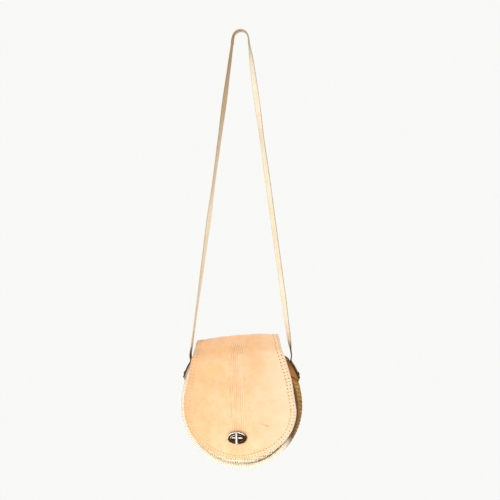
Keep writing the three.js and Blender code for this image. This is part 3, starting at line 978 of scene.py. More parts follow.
def weave_recipe():
    """Flat strands over and under each other, laid on a sheet by its flat map."""
    r = Recipe(
        "weave",
        low_u=0.0, high_u=0.0, low_v=0.0, high_v=0.0,
        weaver_pitch=0.0, stake_pitch=0.0, wander=0.0, seed=1, rattan=MATERIAL,
    )

    def strands(crosswise, spec, pitch):
        """Strands side by side along U, or along V when crosswise."""
        bounds = [r.size(label) for label in ("low_u", "high_u", "low_v", "high_v")]
        low, high, start, end = bounds[2:] + bounds[:2] if crosswise else bounds

        def at(side, length):
            return r.combine(length, side, 0.0) if crosswise else r.combine(side, length, 0.0)

        def on_sheet(value):
            inputs = {"Mesh": r.base, "Value": value, "UV Map": r.kept("flat", VECTOR), "Sample UV": swayed}
            return r.geo("SampleUVSurface", inputs, data_type=VECTOR)

        count = r.math("FLOOR", (high - low) / pitch) + 1
        rungs = {"Count": count, "Start Location": at(low, 0.0), "Offset": at(pitch, 0.0)}
        marks = r.keep(r.geo("MeshLine", rungs), "strand", r.geo("InputIndex"))
        line = r.geo("CurvePrimitiveLine", {"Start": at(0.0, start), "End": at(0.0, end)})
        line = r.resample(line, length=spec.step)
        lines = r.realize(r.geo("InstanceOnPoints", {"Points": marks, "Instance": line}))
        flat = r.place()
        u, v, _ = r.split(flat)
        weave = r.math("COSINE", (u - r.size("low_u")) * math.pi / r.size("weaver_pitch"))
        weave = weave * r.math("COSINE", (v - r.size("low_v")) * math.pi / r.size("stake_pitch"))
        lines = r.keep(lines, "lift", weave * (-1 if crosswise else 1))
        number = r.kept("strand") + spec.first_number
        sway = r.noise(45.0, 2.0, place=r.combine(u, v, number), output="Color")
        sway = r.vector("MULTIPLY", r.vector("SUBTRACT", sway, (0.5, 0.5, 0.5)), (1, 1, 0))
        swayed = r.vector("ADD", flat, r.vector("SCALE", sway, r.size("wander")))
        ground = on_sheet(r.place())
        lines = r.keep(lines, "ground", ground, VECTOR)
        lines = r.keep(lines, "facing", on_sheet(r.kept("facing", VECTOR)), VECTOR)
        off = 1 - ground.out("Is Valid")
        lines = r.geo("DeleteGeometry", {"Geometry": lines, "Selection": off})
        raised = r.along("facing", r.kept("lift") * spec.rise)
        lines = r.move(lines, position=r.vector("ADD", r.kept("ground", VECTOR), raised))
        lines = r.keep(lines, "along", r.geo("SplineParameter", output="Length"))
        lines = r.keep(lines, "tone", r.random(0.0, 1.0, r.size("seed"), number))
        width = r.random(*WEAVE.widths, r.size("seed") + 1, number)
        return r.strand(lines, spec.half_width, spec.half_thickness, WEAVE.sides, width)

    weavers = strands(False, WEAVER, r.size("weaver_pitch"))
    stakes = strands(True, STAKE, r.size("stake_pitch"))
    return r.done(r.paint(r.realize(r.join(weavers, stakes)), r.size("rattan")))


def wrap_recipe():
    """Flat cane wound close round a core that follows a closed line across the depth axis."""
    r = Recipe(
        "cane wrap",
        radius=0.0, pitch=0.0, thickness=0.0, turns=100, steps=12, cane=MATERIAL,
    )
    radius, pitch, thickness = r.size("radius"), r.size("pitch"), r.size("thickness")
    line = r.geo("MeshToCurve", {"Mesh": r.base})
    path = r.resample(line, count=r.size("turns") * r.size("steps"))
    turn = r.geo("InputIndex") / r.size("steps")
    angle = turn * math.tau
    sideways = r.vector("CROSS_PRODUCT", r.geo("InputTangent"), (0, 1, 0))
    outwards = r.vector("SCALE", sideways, r.math("COSINE", angle))
    outwards = r.vector("ADD", outwards, r.combine(0.0, r.math("SINE", angle), 0.0))
    path = r.keep(path, "facing", outwards, VECTOR)
    path = r.keep(path, "tone", r.noise(1.3, 1.0, place=r.combine(turn, 0.0, 0.0)))
    path = r.keep(path, "along", turn)
    uneven = r.noise(0.9, 1.0, place=r.combine(turn, 7.0, 0.0)) - 0.5
    wound = r.move(path, offset=r.along("facing", radius - thickness * (0.5 - 0.5 * uneven)))
    strip = r.strand(wound, pitch * WRAP.half_width, thickness / 2, WRAP.sides)
    section = {"Resolution": WRAP.core_sides, "Radius": radius - thickness * WRAP.core}
    core = r.follow(r.resample(line, count=r.size("turns")), r.geo("CurvePrimitiveCircle", section))
    return r.done(r.paint(r.realize(r.join(strip, core)), r.size("cane")))


def band_recipe():
    """A flat leather band with rounded edges along a line whose points say which way it faces."""
    r = Recipe("leather band", width=0.0, thickness=0.0, rounding=0.0, leather=MATERIAL)
    line = r.geo("MeshToCurve", {"Mesh": r.base})
    line = r.keep(line, "along", r.geo("SplineParameter", output="Length"))
    size = {"Width": r.size("thickness"), "Height": r.size("width")}
    section = r.geo("CurvePrimitiveQuadrilateral", size)
    corner = {"Curve": section, "Count": 3, "Radius": r.size("rounding")}
    section = r.resample(r.geo("FilletCurve", corner, mode="POLY"), length=r.size("rounding"))
    out, across, _ = r.split(r.place())
    section = r.keep(r.keep(section, "out", out), "across", across)
    band = r.follow(r.face(line), section, **{"Fill Caps": True})
    return r.done(r.paint(r.realize(band), r.size("leather")))


def stitch_recipe():
    """Rows of stitches at two distances inside an edge, on a piece of leather."""
    r = Recipe(
        "stitches",
        leather="NodeSocketObject", outer=0.0, inner=0.0, count=100,
        length=0.0, width=0.0, sink=0.0, thread=MATERIAL,
    )
    edge = r.resample(r.geo("MeshToCurve", {"Mesh": r.base}), count=r.size("count"))
    edge = r.keep(edge, "run", r.geo("InputTangent"), VECTOR)
    marks = r.geo("CurveToPoints", {"Curve": edge}, mode="EVALUATED")
    leather = r.geo("ObjectInfo", {"Object": r.size("leather")}, "Geometry")
    ball = r.geo("MeshUVSphere", {"Segments": 6, "Rings": 5, "Radius": 0.5})
    lengths = r.combine(r.size("length"), r.size("width"), r.size("width"))
    ball = r.geo("Transform", {"Geometry": ball, "Scale": lengths})

    def nearest(geometry, kind, output):
        inputs = {"Geometry": geometry, "Sample Position": r.place()}
        return r.geo("Proximity", inputs, output, target_element=kind)

    def row(distance):
        above = r.along("facing", distance * SEAM.lift)
        places = r.move(marks, offset=r.vector("ADD", r.along("inward", distance), above))
        seat = nearest(leather, "FACES", "Position")
        places = r.move(places, position=seat, offset=r.along("facing", -r.size("sink")))
        corner = r.math("LESS_THAN", nearest(r.base, "EDGES", "Distance"), distance - r.size("width"))
        places = r.geo("DeleteGeometry", {"Geometry": places, "Selection": corner})
        axes = {"Primary Axis": r.kept("facing", VECTOR), "Secondary Axis": r.kept("run", VECTOR)}
        turn = r.node("FunctionNodeAxesToRotation", None, axes)
        return r.geo("InstanceOnPoints", {"Points": places, "Instance": ball, "Rotation": turn})

    rows = r.join(row(r.size("outer")), row(r.size("inner")))
    return r.done(r.paint(r.realize(rows), r.size("thread")))


# ---------------------------------------------------------------- finishes


def upright(f):
    """Where a point of the hanging bag is on the upright bag: its x, depth and height."""
    back = HUNG.inverted()
    inputs = {"Vector": f.place(), "Location": back.translation, "Rotation": back.to_euler()}
    return f.split(f.node("ShaderNodeMapping", {"vector_type": "POINT"}, inputs))


def leather_grain(f, depth, strength=0.5):
    """Fine pebbled grain with pores, as a bump."""
    pebbles = {"Vector": f.place(), "Scale": 900.0, "Smoothness": 0.6, "Randomness": 1.0}
    cells = f.node("ShaderNodeTexVoronoi", {"feature": "SMOOTH_F1"}, pebbles)
    pores = f.patches(1900.0, 1.0, (0.62, 0.74), shift=3.1)
    height = cells * 0.8 + f.noise(420.0, 3.0, shift=5.0) * 0.9 - pores * 0.35
    return f.bump(height, depth, strength)


def flap_leather():
    """Pale undyed hide, tooled down its middle, sewn round its edge, stained and rubbed by use."""
    f = Finish("undyed flap hide", HIDE)
    x, y, z = upright(f)
    tan_hide(f, x)
    band = shade_fold(f, x, z)
    shade_grooves(f, x, y, z)
    hole = shade_seam(f, x, z)
    squashed = f.combine(x * LOCK_STAIN.squash, 0.0, z)
    from_stain = f.vector("DISTANCE", squashed, (0.0, 0.0, LOCK_STAIN.height), output="Value")
    stain = f.step(from_stain + f.noise(55.0, 3.0, shift=3.7) * LOCK_STAIN.wander, *LOCK_STAIN.reach)
    f.coat(stain * 0.55, HIDE_ORANGE)
    scuff = scuff_mark(f, x, z)
    f.coat(scuff * 0.75, HIDE_SCRATCH)
    rub = f.noise(60.0, 3.0, shift=7.1)
    relief = f.bump(1 - hole - scuff * 0.15, 0.8 * MM, 0.8, leather_grain(f, 0.12 * MM))
    return f.done(roughness=0.42 + 0.2 * rub + 0.12 * band + hole * 0.3, normal=relief)


def tan_hide(f, x):
    """The hide's tone: paler to the right, and warmer, mottled and stained to the left."""
    f.coat(f.patches(13.0, 3.0, (0.38, 0.66), roughness=0.55, shift=1.3), HIDE_WARM)
    f.coat(f.patches(42.0, 4.0, (0.35, 0.75), roughness=0.6, shift=4.2) * 0.8, HIDE_PALE)
    f.coat(f.step(x + f.noise(9.0, 2.0, shift=8.8) * 0.05, *FLAP_TONE.cream_right) * 0.6, HIDE_CREAM_AND_HIGHLIGHT)
    f.coat(f.step(x, *FLAP_TONE.warm_left) * 0.6, HIDE_WARM)
    mottling = f.patches(110.0, 4.0, (0.47, 0.62), roughness=0.7, shift=14.0)
    f.coat(mottling * (0.3 + 0.7 * f.step(x, *FLAP_TONE.mottled_left)) * 0.22, HIDE_SCRATCH)
    stains = f.patches(24.0, 4.0, (0.50, 0.68), roughness=0.65, shift=11.0)
    f.coat(stains * f.step(x, *FLAP_TONE.stained_left) * 0.5, HIDE_TAN_AND_SHADE)


def shade_fold(f, x, z):
    """The band above the fold, tanned and partly darkened as painted shade, with its smudges, and the
    crease under it darkened as painted shade. Gives the band's mask.
    """
    wander = (f.noise(26.0, 4.0, 0.6, shift=2.2) - 0.5) * FOLD.wander
    above = z - x * FOLD.slope - FOLD.height + wander
    band = f.step(above, *FOLD.band)
    # the band's tan, partly painted shade where the hide turns up
    f.coat(band * (3.0 * f.noise(33.0, 3.0, shift=6.0) - 1.3), HIDE_TAN_AND_SHADE)
    smudge = f.patches(38.0, 3.0, (0.50, 0.66), roughness=0.6, shift=9.4)
    f.coat(smudge * band * f.step(x, *FLAP_TONE.smudged_left) * 0.55, HIDE_SMUDGE)
    broken = f.patches(35.0, 2.0, (0.45, 0.65), shift=3.3)
    # painted shade in the crease under the band
    f.coat(f.step(abs(above), *FOLD.crease) * broken * 0.28, HIDE_TOOLING_AND_SHADE)
    return band


def shade_grooves(f, x, y, z):
    """The tooled lines, dark and streaked, and the paler ridges between them; to the right the lines are
    lighter and the ridges paler, as painted light.
    """
    place, down = groove_place(x, z)
    from_line = f.math("PINGPONG", place, 0.5)
    tooled = f.step(place, -0.4, -0.2) * f.step(place, GROOVE.count - 0.6, GROOVE.count - 0.8)
    tooled = tooled * f.step(down, -0.06, 0.03) * f.step(down, 1.04, 0.90) * f.step(y, *FLAP_TONE.front)
    streaks = f.noise(1.0, 3.0, 0.7, place=f.combine(x * 300, 0.0, z * 45), shift=2.0)
    # painted light: the grooves are lit on the right
    right = f.step(x, *FLAP_TONE.groove_lit_right)
    line = f.step(from_line, 0.20, 0.03) * tooled * f.step(streaks, 0.34, 0.60)
    f.coat(line * (1.0 - 0.45 * right), HIDE_TOOLING_AND_SHADE)
    f.coat(f.step(from_line, 0.34, 0.47) * tooled * (0.25 + 0.5 * right), HIDE_CREAM_AND_HIGHLIGHT)


def shade_seam(f, x, z):
    """The pale border, its dark brim, and the holes of its stitches painted dark as shade, more so to the
    right and higher up. Gives the holes' mask.
    """
    edge = f.attribute("edge")
    border = f.step(edge, SEAM.inner, SEAM.outer - 1 * MM)
    f.coat(border * f.step(x, *FLAP_TONE.cream_border_right) * 0.55, HIDE_CREAM_AND_HIGHLIGHT)
    f.coat(f.step(edge, *BRIM) * 0.45, HIDE_BROWN)
    hole, pulled = stitch_holes(f, edge)
    right, high = f.step(x, *FLAP_TONE.shaded_holes_right), f.step(z, *FLAP_TONE.shaded_holes_high)
    painted_shading = f.patches(170.0, 1.0, (0.38, 0.58), shift=6.3)
    # the holes painted dark as shade, stronger to the right and higher up, and uneven
    f.coat(hole * (0.4 + 0.6 * right * (0.4 + 0.6 * high)) * (0.5 + 0.5 * painted_shading), HOLE_SHADE)
    f.coat(pulled * 0.07, HIDE_BROWN)
    return hole


def stitch_holes(f, edge):
    """The awl's holes between the stitches of both rows, and the leather pulled down between them."""
    along = f.math("PINGPONG", f.attribute("seam") / SEAM.pitch + 0.5, 0.5) * SEAM.pitch
    holes, pulls = [], []
    for row in (SEAM.outer, SEAM.inner):
        off = edge - row
        holes.append(f.step(f.math("SQRT", along * along + off * off), SEAM.hole, SEAM.hole * 0.55))
        pulls.append(f.step(abs(off), SEAM.hole * 1.5, SEAM.hole * 0.4))
    return f.clamp(holes[0] + holes[1]), f.clamp(pulls[0] + pulls[1])


def scuff_mark(f, x, z):
    """One shallow scuff that widens towards its right end."""
    start, end = np.array(SCUFF.start), np.array(SCUFF.end)
    length = np.linalg.norm(end - start)
    way = (end - start) / length
    along = (x - start[0]) * way[0] + (z - start[1]) * way[1]
    wander = (f.noise(60.0, 2.0, shift=1.9) - 0.5) * SCUFF.wander
    off = (x - start[0]) * -way[1] + (z - start[1]) * way[0] + wander
    share = f.clamp(along / length)
    body = f.step(abs(off) / between(*SCUFF.reach, share * share), 1.0, 0.2)
    ends = f.step(along, -2 * MM, 4 * MM) * f.step(along, length + 3 * MM, length - 1 * MM)
    return body * ends * (0.25 + 0.75 * share * share)


def suede():
    """The flesh side of the hide."""
    f = Finish("flesh side", SUEDE_DARK, roughness=0.9)
    nap = f.noise(700.0, 4.0, 0.7)
    f.coat(f.noise(30.0, 3.0), SUEDE_PALE)
    f.coat(nap * 0.4, SUEDE_DARK)
    return f.done(normal=f.bump(nap, 0.4 * MM, 0.6))


def cut_edge():
    """The raw cut edge of the pale hide, with its packed fibres."""
    f = Finish("raw cut edge", EDGE_PALE, roughness=0.75)
    fibres = f.noise(900.0, 3.0, 0.7)
    f.coat(fibres * 0.4, HIDE)
    return f.done(normal=f.bump(fibres, 0.3 * MM, 0.5))


def linen_thread():
    """Waxed thread, with the twist of its plies."""
    f = Finish("linen thread", THREAD, roughness=0.6)
    plies = f.noise(1500.0, 2.0)
    f.coat(plies * 0.5, HIDE_WARM)
    return f.done(normal=f.bump(plies, 0.2 * MM, 0.5))


def strap_leather():
    """A hide band with stained edges and a flesh side, its ends darker where they reach the tabs, its upper
    left leg darkened as painted shade, and its arch darkened partly as painted shade and partly by
    handling.
    """
    f = Finish("strap hide", STRAP_PALE, specular_ior_level=0.3)
    x, _, z = f.split(f.place())
    f.coat(f.patches(25.0, 3.0, (0.35, 0.7)), STRAP_WARM)
    f.coat(f.patches(160.0, 3.0, (0.5, 0.8), shift=2.5) * 0.3, HIDE_WARM)
    flesh = f.step(f.attribute("out"), *STRAP_TONE.flesh)
    f.coat(flesh * 0.22, SUEDE_PALE)
    # painted shade on the upper left leg, turned away from the light, and on the arch, partly handling
    painted_shading = f.step(z + f.noise(40.0, 3.0, shift=7.0) * 0.05, *STRAP_TONE.shaded_high)
    painted_shading = painted_shading * f.step(x, *STRAP_TONE.leg_left) + f.step(z, *STRAP_TONE.arch_high) * 0.6
    f.coat(f.clamp(painted_shading) * 0.72, STRAP_WORN_AND_SHADED)
    lowered = STRAP_TONE.lower_by * f.step(x, *STRAP_TONE.lower_left)
    ends = f.step(z + f.noise(70.0, 3.0, shift=4.0) * 0.008 + lowered, *STRAP_TONE.ends_low)
    f.coat(ends * 0.85, STRAP_DARK)
    inset = STRAP.width / 2 - abs(f.attribute("across"))
    brim = f.step(inset - f.noise(500.0, 2.0) * 0.0004, *STRAP_TONE.brim)
    f.coat(brim * (0.42 + 0.5 * ends), EDGE_DARK)
    crease = f.step(abs(inset - STRAP_TONE.crease_inset), *STRAP_TONE.crease) * (1 - flesh)
    f.coat(crease * 0.35, HIDE_BROWN)
    relief = f.bump(1 - crease, 0.3 * MM, 0.6, leather_grain(f, 0.1 * MM))
    return f.done(roughness=0.42 + 0.35 * flesh + 0.15 * f.noise(80.0, 2.0), normal=relief)


def cap_leather():
    """Reddish brown hide of the side tabs, darker towards its edges, paler on the left tab as painted
    light, and darker at the top as painted shade under the flap.
    """
    f = Finish("side tab hide", CAP_BROWN, specular_ior_level=0.25)
    x, _, z = f.split(f.place())
    f.coat(f.noise(55.0, 3.0), CAP_RED)
    # painted light: the left tab is paler
    f.coat(f.step(x, *CAP_TONE.lit_left) * 0.6, HIDE_CREAM_AND_HIGHLIGHT)
    # painted shade at the top, under the flap
    f.coat(f.step(z, *CAP_TONE.shaded_top) * 0.75, CAP_DARK_AND_SHADE)
    f.coat(f.step(f.attribute("edge"), *BRIM) * 0.7, CAP_DARK_AND_SHADE)
    rough = 0.4 + 0.3 * f.noise(90.0, 3.0, shift=1.0)
    return f.done(roughness=rough, normal=leather_grain(f, 0.14 * MM, 0.6))


def rattan(name, pale, golden, brown, browning_and_shade=1.0):
    """Split rattan: every strand has its own tone, with long fibres, dull growth marks and dark sides, and
    painted shade where it passes under another strand and towards the bottom.
    """
    f = Finish(name, pale, specular_ior_level=0.3)
    tone, along, lift, side = (f.attribute(label) for label in ("tone", "along", "lift", "side"))
    x, y, z = f.split(f.place())
    fibres = f.noise(1.0, 2.0, 0.6, place=f.combine(tone * 900, along * 130, (x + y + z) * 1500))
    marks = f.noise(1.0, 1.0, place=f.combine(tone * 400, along * 55, 0.0), shift=2.0)
    f.coat(f.step(tone, 0.15, 0.95), golden)
    browned_and_shaded = (
        (fibres, 0.45 * browning_and_shade),
        (f.step(marks, 0.62, 0.74), 0.6 * browning_and_shade),
        # painted shade where a strand passes under another
        (f.step(lift, 0.2, -0.9), 0.45 * browning_and_shade),
        (f.patches(25.0, 3.0, (0.45, 0.7), shift=6.6), 0.25 * browning_and_shade),
        (f.step(side, 0.7, 1.0), 0.6 * browning_and_shade),
        # painted shade, darker towards the bottom
        (f.step(z, *RATTAN_SHADE_LOW), 0.85 * browning_and_shade - 0.31),
    )
    for mask, share in browned_and_shaded:
        f.coat(mask * share, brown)
    return f.done(roughness=0.45 + 0.3 * fibres, normal=f.bump(fibres, 0.3 * MM, 0.6))


def painted_rim_shade(f):
    """Where shade is painted on the rim: in the corner between the rim and the panel, and on the rim's
    right side, in the flap's shadow.
    """
    x, y, z = upright(f)
    across, down = x / BODY.half_width, (z - BODY.wide_level) / BODY.bottom_fall
    inset = (1 - f.math("SQRT", across * across + down * down)) * BODY.half_width
    corner = f.step(inset, BODY.rim_radius * 1.3, BODY.rim_radius * 1.9) * f.step(x, *RIM_SHADE.corner_right)
    high = f.step(z + f.noise(70.0, 3.0, shift=2.9) * 0.012, *RIM_SHADE.high)
    return f.clamp(corner + f.step(x, *RIM_SHADE.right) * high) * f.step(y, *RIM_SHADE.front)


def cane():
    """Flat cane with its glossy skin, pale, in bands of slightly different tone."""
    f = Finish("wrapping cane", CANE_PALE, specular_ior_level=0.3)
    x, y, z = f.split(f.place())
    fibres = f.noise(1.0, 2.0, 0.6, place=f.combine(f.attribute("along") * 3, (x + z) * 60, y * 900))
    f.coat(f.step(f.attribute("tone"), 0.3, 0.7), CANE_PEACH)
    f.coat(f.patches(60.0, 3.0, (0.5, 0.75), shift=5.5) * 0.4, CANE_GOLD)
    f.coat(fibres * 0.15, CANE_GOLD)
    f.coat(f.step(f.attribute("side"), 0.62, 0.82) * 0.9, CANE_SHADE)
    # painted shadow of the flap on the rim's right side and in its corner with the panel
    f.coat(painted_rim_shade(f) * 0.95, CANE_SHADOW)
    return f.done(roughness=0.35 + 0.3 * fibres, normal=f.bump(fibres, 0.2 * MM, 0.4))


def blackened_brass():
    """Dark brass with a dull film and fine hair scratches."""
    f = Finish("blackened brass", BLACK_BRASS, metallic=1.0)
    film = f.patches(260.0, 4.0, (0.4, 0.7), roughness=0.6)
    x, y, z = f.split(f.place())
    hairs = f.noise(1.0, 3.0, 0.7, place=f.combine(x * 400, y * 400, z * 5200))
    f.coat(film * 0.6, BLACK_BRASS_RUB)
    return f.done(roughness=0.4 + 0.2 * film + 0.1 * hairs, normal=f.bump(hairs, 0.05 * MM, 0.3))


def clouded(f, cloud, smooth, dull):
    """Ends a nickel finish whose shine is as uneven as its cloudy film."""
    return f.done(roughness=smooth + dull * cloud, normal=f.bump(cloud, 0.08 * MM, 0.4))


def frame_with_painted_light():
    """Dark nickel with a cloudy film, its upper edges painted bright as a highlight and its hollow painted
    black as shade.
    """
    f = Finish("dark nickel", NICKEL_BROWN, metallic=0.92, specular_ior_level=0.3)
    x, y, z = upright(f)
    cloud = f.noise(420.0, 3.0, 0.6)
    height = z - LOCK.height - x * 0.25 + (cloud - 0.5) * 0.004
    f.coat(cloud, NICKEL_FILM_AND_SHADE)
    # painted highlight on the upper edges
    f.coat(f.step(height, *LOCK_PAINTED_LIGHT.frame_top), NICKEL_HIGHLIGHT)
    # painted shade in the hollow
    f.coat(f.step(y - LOCK_DEPTH.frame, *LOCK_PAINTED_LIGHT.frame_hollow), NICKEL_FILM_AND_SHADE)
    return clouded(f, cloud, 0.25, 0.25)


def bar_with_painted_shade():
    """Bright nickel along the bar, painted darker on its right flank and lower tip as shade."""
    f = Finish("rubbed nickel", NICKEL_BRIGHT, metallic=0.6)
    x, _, z = upright(f)
    cloud = f.noise(420.0, 3.0, 0.6)
    flank = f.step(x + (cloud - 0.5) * 0.001, *LOCK_PAINTED_LIGHT.bar_right)
    tip = f.step(z - LOCK.height + cloud * 0.001, *LOCK_PAINTED_LIGHT.bar_low)
    # painted shade on the right flank and lower tip
    f.coat(f.math("MAXIMUM", flank, tip) * 0.85, NICKEL_SHADE)
    return clouded(f, cloud, 0.25, 0.25)


def seat_with_painted_highlight():
    """The blackened seat behind the slot, with one bright line painted above its middle as a highlight."""
    f = Finish("blackened seat", NICKEL_FILM_AND_SHADE, metallic=0.92, specular_ior_level=0.3)
    _, _, z = upright(f)
    cloud = f.noise(500.0, 3.0, 0.6)
    from_line = abs(z - LOCK.height - LOCK_PAINTED_LIGHT.seat_line_height + cloud * 0.001)
    # painted highlight along the seat's upper edge
    f.coat(f.step(from_line, *LOCK_PAINTED_LIGHT.seat_line) * 0.9, NICKEL_HIGHLIGHT)
    return clouded(f, cloud, 0.3, 0.2)


# ---------------------------------------------------------------- leather pieces


def edge_attributes(piece, border):
    """Stores each point's distance to the border, and how far round the border its nearest place is.

    Gives the border's length and the distances.
    """
    lengths = distances_along(loop(border))
    places = np.arange(0, lengths[-1], EDGE.spacing)
    dense = np.stack([np.interp(places, lengths, line) for line in loop(border).T], -1)
    tree = KDTree(len(dense))
    for number, point in enumerate(dense):
        tree.insert(point, number)
    tree.balance()
    numbers, distances = zip(*(tree.find(vertex.co)[1:] for vertex in piece.data.vertices))
    store(piece, "edge", distances)
    store(piece, "seam", places[list(numbers)])
    return lengths[-1], np.array(distances)


def rolled_edge(brim, foot, out, rounding):
    """Rings of points round a hide's edge, from its face to its flesh side."""
    rings = []
    for angle in np.linspace(0, math.pi, EDGE.steps + 2)[1:-1]:
        level = math.copysign(abs(math.cos(angle)) ** EDGE.fullness, math.cos(angle))
        push = rounding * math.sin(angle) ** EDGE.fullness
        rings.append(brim + (foot - brim) * (1 - level) / 2 + out * push)
    return rings


def leather_shell(name, outer, inner, rounding, materials):
    """A closed hide from two grids of points, with a rounded cut edge. Also gives its border's line."""
    rows, columns = outer.shape[:2]
    number = np.arange(rows * columns).reshape(rows, columns)
    border = np.concatenate([number[0, :-1], number[:-1, -1], number[-1, :0:-1], number[:0:-1, 0]])
    border = np.roll(border, -(columns // 2))
    top, low = outer.reshape(-1, 3), inner.reshape(-1, 3)
    brim, foot = top[border], low[border]
    out = unit(np.cross(np.roll(brim, -1, 0) - np.roll(brim, 1, 0), brim - foot))
    out = out * np.sign(np.sum(out * (brim - brim.mean(0))))
    points = np.concatenate([top, low, *rolled_edge(brim, foot, out, rounding)])
    count, turns = rows * columns, len(border)
    rings = 2 * count + np.arange(EDGE.steps * turns).reshape(EDGE.steps, turns)
    loops = [border, *rings, border + count]
    skin = grid_faces(rows, columns)
    faces = skin + [tuple(count + k for k in reversed(face)) for face in skin]
    for upper, lower in zip(loops[:-1], loops[1:]):
        quads = np.stack([upper, np.roll(upper, -1), np.roll(lower, -1), lower], -1)
        faces += [tuple(quad) for quad in quads.tolist()]
    kinds = np.repeat((0, 1, 2), (len(skin), len(skin), len(faces) - 2 * len(skin)))
    piece = new_piece(name, hang(points), faces, materials=materials)
    piece.data.polygons.foreach_set("material_index", kinds)
    face_outwards(piece)
    line = SimpleNamespace(place=hang(brim), inward=spin(-out), facing=spin(unit(brim - foot)))
    return piece, line


def face_outwards(piece):
    mesh = bmesh.new()
    mesh.from_mesh(piece.data)
    bmesh.ops.recalc_face_normals(mesh, faces=mesh.faces)
    mesh.to_mesh(piece.data)
    mesh.free()


def waved(base, normal):
    """The flap's face with the hide's slow waves."""
    waves = [[noise.noise(Vector(point) * WAVE.scale) for point in row] for row in base]
    return base + normal * (np.array(waves) * WAVE.height - WAVE.height / 2)[..., None]


def groove_depth(base):
    """How deep the tooled lines are at each point of the flap's face."""
    place, down = groove_place(base[..., 0], base[..., 2])
    nearest = np.clip(np.round(place), 0, GROOVE.count - 1)
    off = (place - nearest) * GROOVE.spread[0] * 2 / (GROOVE.count - 1)
    upper, lower = (down + GROOVE.lead) * GROOVE.sharpness[0], (1 - down) * GROOVE.sharpness[1]
    tooled = np.clip(upper, 0, 1) * np.clip(lower, 0, 1) * (base[..., 1] < 0)
    return GROOVE.depth * np.exp(-((off / GROOVE.width) ** 2)) * tooled


def seam_depth(edge):
    """How deep the stitches pull the leather in, by its distance to the edge."""
    rows = np.array((SEAM.outer, SEAM.inner))[:, None, None]
    return np.sum(SEAM.channel * np.exp(-(((edge - rows) / SEAM.channel_width) ** 2)), 0)


def cut_slot(piece):
    """Cuts the slot through the flap for the lock's seat."""
    ends = LOCK_DEPTH.frame, LOCK_DEPTH.plate
    cutter = stacked("lock slot", [oval(*LOCK.slot, depth) for depth in ends])
    slot = piece.modifiers.new("slot", "BOOLEAN")
    slot.object = cutter
    slot.solver = "EXACT"
    settle(piece)
    bpy.data.objects.remove(cutter)


def flap():
    """The flap, with its border's line and length."""
    base = flap_surface(flap_rows(), flap_columns())
    normal = normals(base)
    base = waved(base, normal)
    finishes = FINISH.flap, FINISH.suede, FINISH.edge
    inner = base - normal * WALL.flap
    piece, border = leather_shell("flap_hide", base, inner, FLAP.edge_rounding, finishes)
    length, edge = edge_attributes(piece, border.place)
    face = base.size // 3
    relief = groove_depth(base) + seam_depth(edge[:face].reshape(base.shape[:2]))
    points = np.array([vertex.co for vertex in piece.data.vertices])
    points[:face] -= (spin(normal) * relief[..., None]).reshape(-1, 3)
    piece.data.vertices.foreach_set("co", points.ravel())
    cut_slot(piece)
    return piece, border, length


def stitches(name, leather, border, length):
    """Stitches inside the border of a leather piece, each between two of its holes."""
    piece = new_piece(name, border.place, edges=chain(len(border.place), closed=True))
    store(piece, "inward", border.inward)
    store(piece, "facing", border.facing)
    return grow(
        piece, RECIPE.stitches,
        leather=leather, outer=SEAM.outer, inner=SEAM.inner, count=round(length / SEAM.pitch),
        length=SEAM.stitch, width=SEAM.thread, sink=SEAM.sink, thread=FINISH.thread,
    )


def side_tab(name, hand):
    outer = tab_grid(hand)
    inner = outer - normals(outer) * WALL.tab
    piece, border = leather_shell(name, outer, inner, TAB.rounding, (FINISH.cap, FINISH.suede, FINISH.cap))
    edge_attributes(piece, border.place)
    return piece


def strap():
    line, way = strap_line()
    turn = strap_turn(line)
    inwards = unit(np.cross((0, 1, 0), way))
    face = -(inwards * np.cos(turn) - np.array((0, 1, 0)) * np.sin(turn))
    piece = new_piece("shoulder_strap", hang(line), edges=chain(len(line)))
    store(piece, "facing", spin(face))
    return grow(
        piece, RECIPE.band,
        width=STRAP.width, thickness=WALL.strap, rounding=STRAP.rounding, leather=FINISH.strap,
    )


# ---------------------------------------------------------------- rattan pieces


def weave(name, points, flat, finish, seed):
    base = sheet(name, points, flat)
    store(base, "facing", spin(normals(points)))
    (low_u, low_v), (high_u, high_v) = flat.reshape(-1, 2).min(0), flat.reshape(-1, 2).max(0)
    margin = WEAVE.margin
    return grow(
        base, RECIPE.weave,
        low_u=low_u + margin, high_u=high_u - margin, low_v=low_v + margin, high_v=high_v - margin,
        weaver_pitch=WEAVE.weaver, stake_pitch=WEAVE.stake, wander=WEAVE.wander, seed=seed, rattan=finish,
    )


def panel(name, face, seed):
    """Its flat map is its front view."""
    points = panel_grid(face)
    return weave(name, points, points[..., ::2], FINISH.pale_rattan, seed)


def gusset(name, seed):
    """Its close strands run lengthwise, so its flat map has them along V."""
    points, flat = gusset_grid()
    return weave(name, points, flat[..., ::-1], FINISH.golden_rattan, seed)


def rim(name, face):
    line = hang(rim_line(face))
    base = new_piece(name, line, edges=chain(len(line), closed=True))
    turns = round(distances_along(loop(line))[-1] / WRAP.pitch)
    return grow(
        base, RECIPE.wrap,
        radius=BODY.rim_radius, pitch=WRAP.pitch, thickness=WRAP.thickness,
        turns=turns, steps=WRAP.steps, cane=FINISH.cane,
    )


# ---------------------------------------------------------------- metal pieces


def oval(width, height, depth, sides=LOCK.sides):
    """A ring of points round the lock's centre."""
    angle = np.linspace(0, math.tau, sides, endpoint=False)
    x, z = width / 2 * np.cos(angle), LOCK.height + height / 2 * np.sin(angle)
    return np.stack([x, np.full(sides, depth), z], -1)


def rounded_bar(width, height, inset, depth):
    """A ring of an upright bar with half-round ends, inset by a distance."""
    angle = (np.arange(LOCK.sides) + 0.5) * math.tau / LOCK.sides
    reach = (height - width) / 2
    radius = width / 2 - inset
    z = LOCK.height + radius * np.sin(angle) + reach * np.sign(np.sin(angle))
    return np.stack([radius * np.cos(angle), np.full(LOCK.sides, depth), z], -1)


